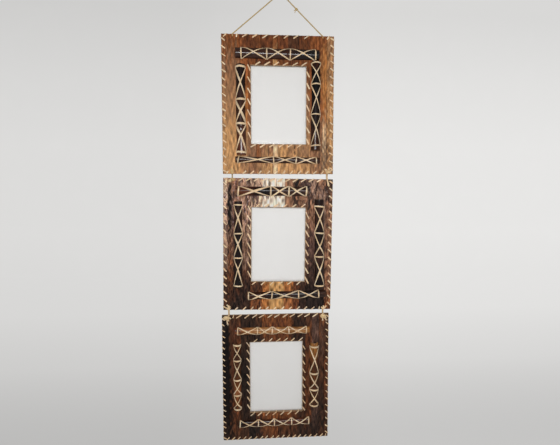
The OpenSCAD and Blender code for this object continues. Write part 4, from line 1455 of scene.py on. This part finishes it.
def backdrop_material(settings):
    """Pale matt backdrop with painted light, brightest at mid height and towards the right, that shows at
    its own level to the camera and in reflections.
    """
    paint = Paint("Backdrop", grain=False)
    tree = paint.tree
    split = add_node(tree, "SeparateXYZ", {0: paint.grain}).outputs
    inputs = {"Value": split["Z"], "From Min": BACKDROP_FOOT, "From Max": BACKDROP_TOP}
    ramp = add_node(tree, "ValToRGB", {0: add_node(tree, "MapRange", inputs).outputs[0]})
    for n, (place, level) in enumerate(BACKDROP_LEVELS):
        stop = ramp.color_ramp.elements[n] if n < 2 else ramp.color_ramp.elements.new(place)
        stop.position = place
        stop.color = (*[level / BRIGHTEST] * 3, 1)
    # Painted light across the backdrop: darker to the left, brighter to the right.
    inputs = {
        "Value": split["X"], "From Min": -BACKDROP_SIDE, "From Max": BACKDROP_SIDE,
        "To Min": 0.94, "To Max": 1.05,
    }
    aside = add_node(tree, "MapRange", inputs).outputs[0]
    shade = paint.tinted(ramp.outputs[0], [tone * BRIGHTEST for tone in settings.wall_tone])
    shade = paint.shaded(shade, aside)
    colour = paint.stained(shade, (0.985, 0.985, 0.985), paint.mottle(160, 160, 0.5, 0.3))
    paint.finish(colour, plain={"Roughness": 0.9})
    glow = add_node(tree, "Emission", {"Color": colour, "Strength": 1.0})
    path = add_node(tree, "LightPath").outputs
    seen = calculated(tree, "MAXIMUM", path["Is Camera Ray"], path["Is Glossy Ray"])
    seen = calculated(tree, "MAXIMUM", seen, path["Is Transmission Ray"])
    share = calculated(tree, "MULTIPLY", seen, GLOW)
    mix = add_node(tree, "MixShader", {0: share, 1: paint.shader.outputs[0], 2: glow.outputs[0]})
    tree.links.new(mix.outputs[0], tree.nodes["Material Output"].inputs["Surface"])
    return paint.material


class BAMBOOFRAME_OT_stage(bpy.types.Operator):
    """Set up the pale backdrop, the soft lamps and the even room light"""

    bl_idname = "bamboo_frame.stage"
    bl_label = "Backdrop and Light"

    def execute(self, context):
        settings = look()
        turn = np.linspace(0, math.pi / 2, 24)
        y = np.concatenate([[-4.5, -1.0], 0.9 + 0.8 * np.sin(turn), [1.7]])
        z = np.concatenate([[-1.8, -1.8], -1.0 - 0.8 * np.cos(turn), [2.6]])
        points = [(x, b, c) for x in (-14.0, 14.0) for b, c in zip(y, z)]
        count = len(y)
        faces = [(n, n + count, n + 1 + count, n + 1) for n in range(count - 1)]
        mesh = bpy.data.meshes.new("backdrop")
        mesh.from_pydata(points, [], faces)
        mesh.polygons.foreach_set("use_smooth", np.ones(len(mesh.polygons), bool))
        mesh.materials.append(backdrop_material(settings))
        backdrop = bpy.data.objects.new("backdrop", mesh)
        context.scene.collection.objects.link(backdrop)

        lamps = (
            ("Front Lamp", (-0.042, -1.0, -0.2), (-0.01, 0.0, -0.5), (0.5, 0.12), settings.lamp_power),
            ("Fill Lamp", (-0.042, -1.0, -0.76), (-0.01, 0.0, -0.56), (0.9, 0.9), settings.fill_power),
            ("Rear Lamp", (0.5, 1.35, 0.5), (0.0, 0.0, -0.5), (1.0, 1.0), 6.0),
        )
        for name, place, aim, size, power in lamps:
            data = bpy.data.lights.new(name, "AREA")
            data.shape = "RECTANGLE"
            data.size, data.size_y = size
            data.energy = power
            lamp = bpy.data.objects.new(name, data)
            lamp.location = place
            lamp.rotation_mode = "QUATERNION"
            lamp.rotation_quaternion = (Vector(aim) - Vector(place)).to_track_quat("-Z", "Y")
            lamp.visible_camera = False
            lamp.visible_glossy = name != "Fill Lamp"
            context.scene.collection.objects.link(lamp)

        world = bpy.data.worlds.new("Room")
        world.use_nodes = True
        tree = world.node_tree
        sky = tree.nodes["Background"]
        sky.inputs["Color"].default_value = (1.0, 1.0, 1.0, 1.0)
        sky.inputs["Strength"].default_value = settings.room_light
        pale = add_node(tree, "Background", {"Color": (*settings.wall_tone, 1.0), "Strength": 1.0})
        seen = add_node(tree, "LightPath").outputs["Is Camera Ray"]
        mix = add_node(tree, "MixShader", {0: seen, 1: sky.outputs[0], 2: pale.outputs[0]})
        tree.links.new(mix.outputs[0], tree.nodes["World Output"].inputs["Surface"])
        context.scene.world = world
        context.scene.view_settings.view_transform = "Standard"
        return {"FINISHED"}


STEPS = (
    BAMBOOFRAME_OT_camera,
    BAMBOOFRAME_OT_twine,
    BAMBOOFRAME_OT_boards,
    BAMBOOFRAME_OT_pockets,
    BAMBOOFRAME_OT_bark,
    BAMBOOFRAME_OT_rods,
    BAMBOOFRAME_OT_lashings,
    BAMBOOFRAME_OT_whipping,
    BAMBOOFRAME_OT_window_whipping,
    BAMBOOFRAME_OT_ties,
    BAMBOOFRAME_OT_stage,
)


class BAMBOOFRAME_PT_panel(bpy.types.Panel):
    """The frame's pieces, in the order in which they are made"""

    bl_label = "Picture Frame"
    bl_space_type = "VIEW_3D"
    bl_region_type = "UI"
    bl_category = "Picture Frame"

    def draw(self, context):
        for name in BambooFrameSettings.__annotations__:
            self.layout.prop(context.scene.bamboo_frame, name)
        for step in STEPS:
            self.layout.operator(step.bl_idname)


CLASSES = (BambooFrameSettings, *STEPS, BAMBOOFRAME_PT_panel)


def register():
    for entry in CLASSES:
        bpy.utils.register_class(entry)
    bpy.types.Scene.bamboo_frame = PointerProperty(type=BambooFrameSettings)


def unregister():
    del bpy.types.Scene.bamboo_frame
    for entry in reversed(CLASSES):
        bpy.utils.unregister_class(entry)


def main():
    register()
    bpy.ops.bamboo_frame.camera()
    bpy.ops.bamboo_frame.twine()
    bpy.ops.bamboo_frame.boards()
    bpy.ops.bamboo_frame.pockets()
    bpy.ops.bamboo_frame.bark()
    bpy.ops.bamboo_frame.rods()
    bpy.ops.bamboo_frame.lashings()
    bpy.ops.bamboo_frame.whipping()
    bpy.ops.bamboo_frame.window_whipping()
    bpy.ops.bamboo_frame.ties()
    bpy.ops.bamboo_frame.stage()


if __name__ == "__main__":
    main()
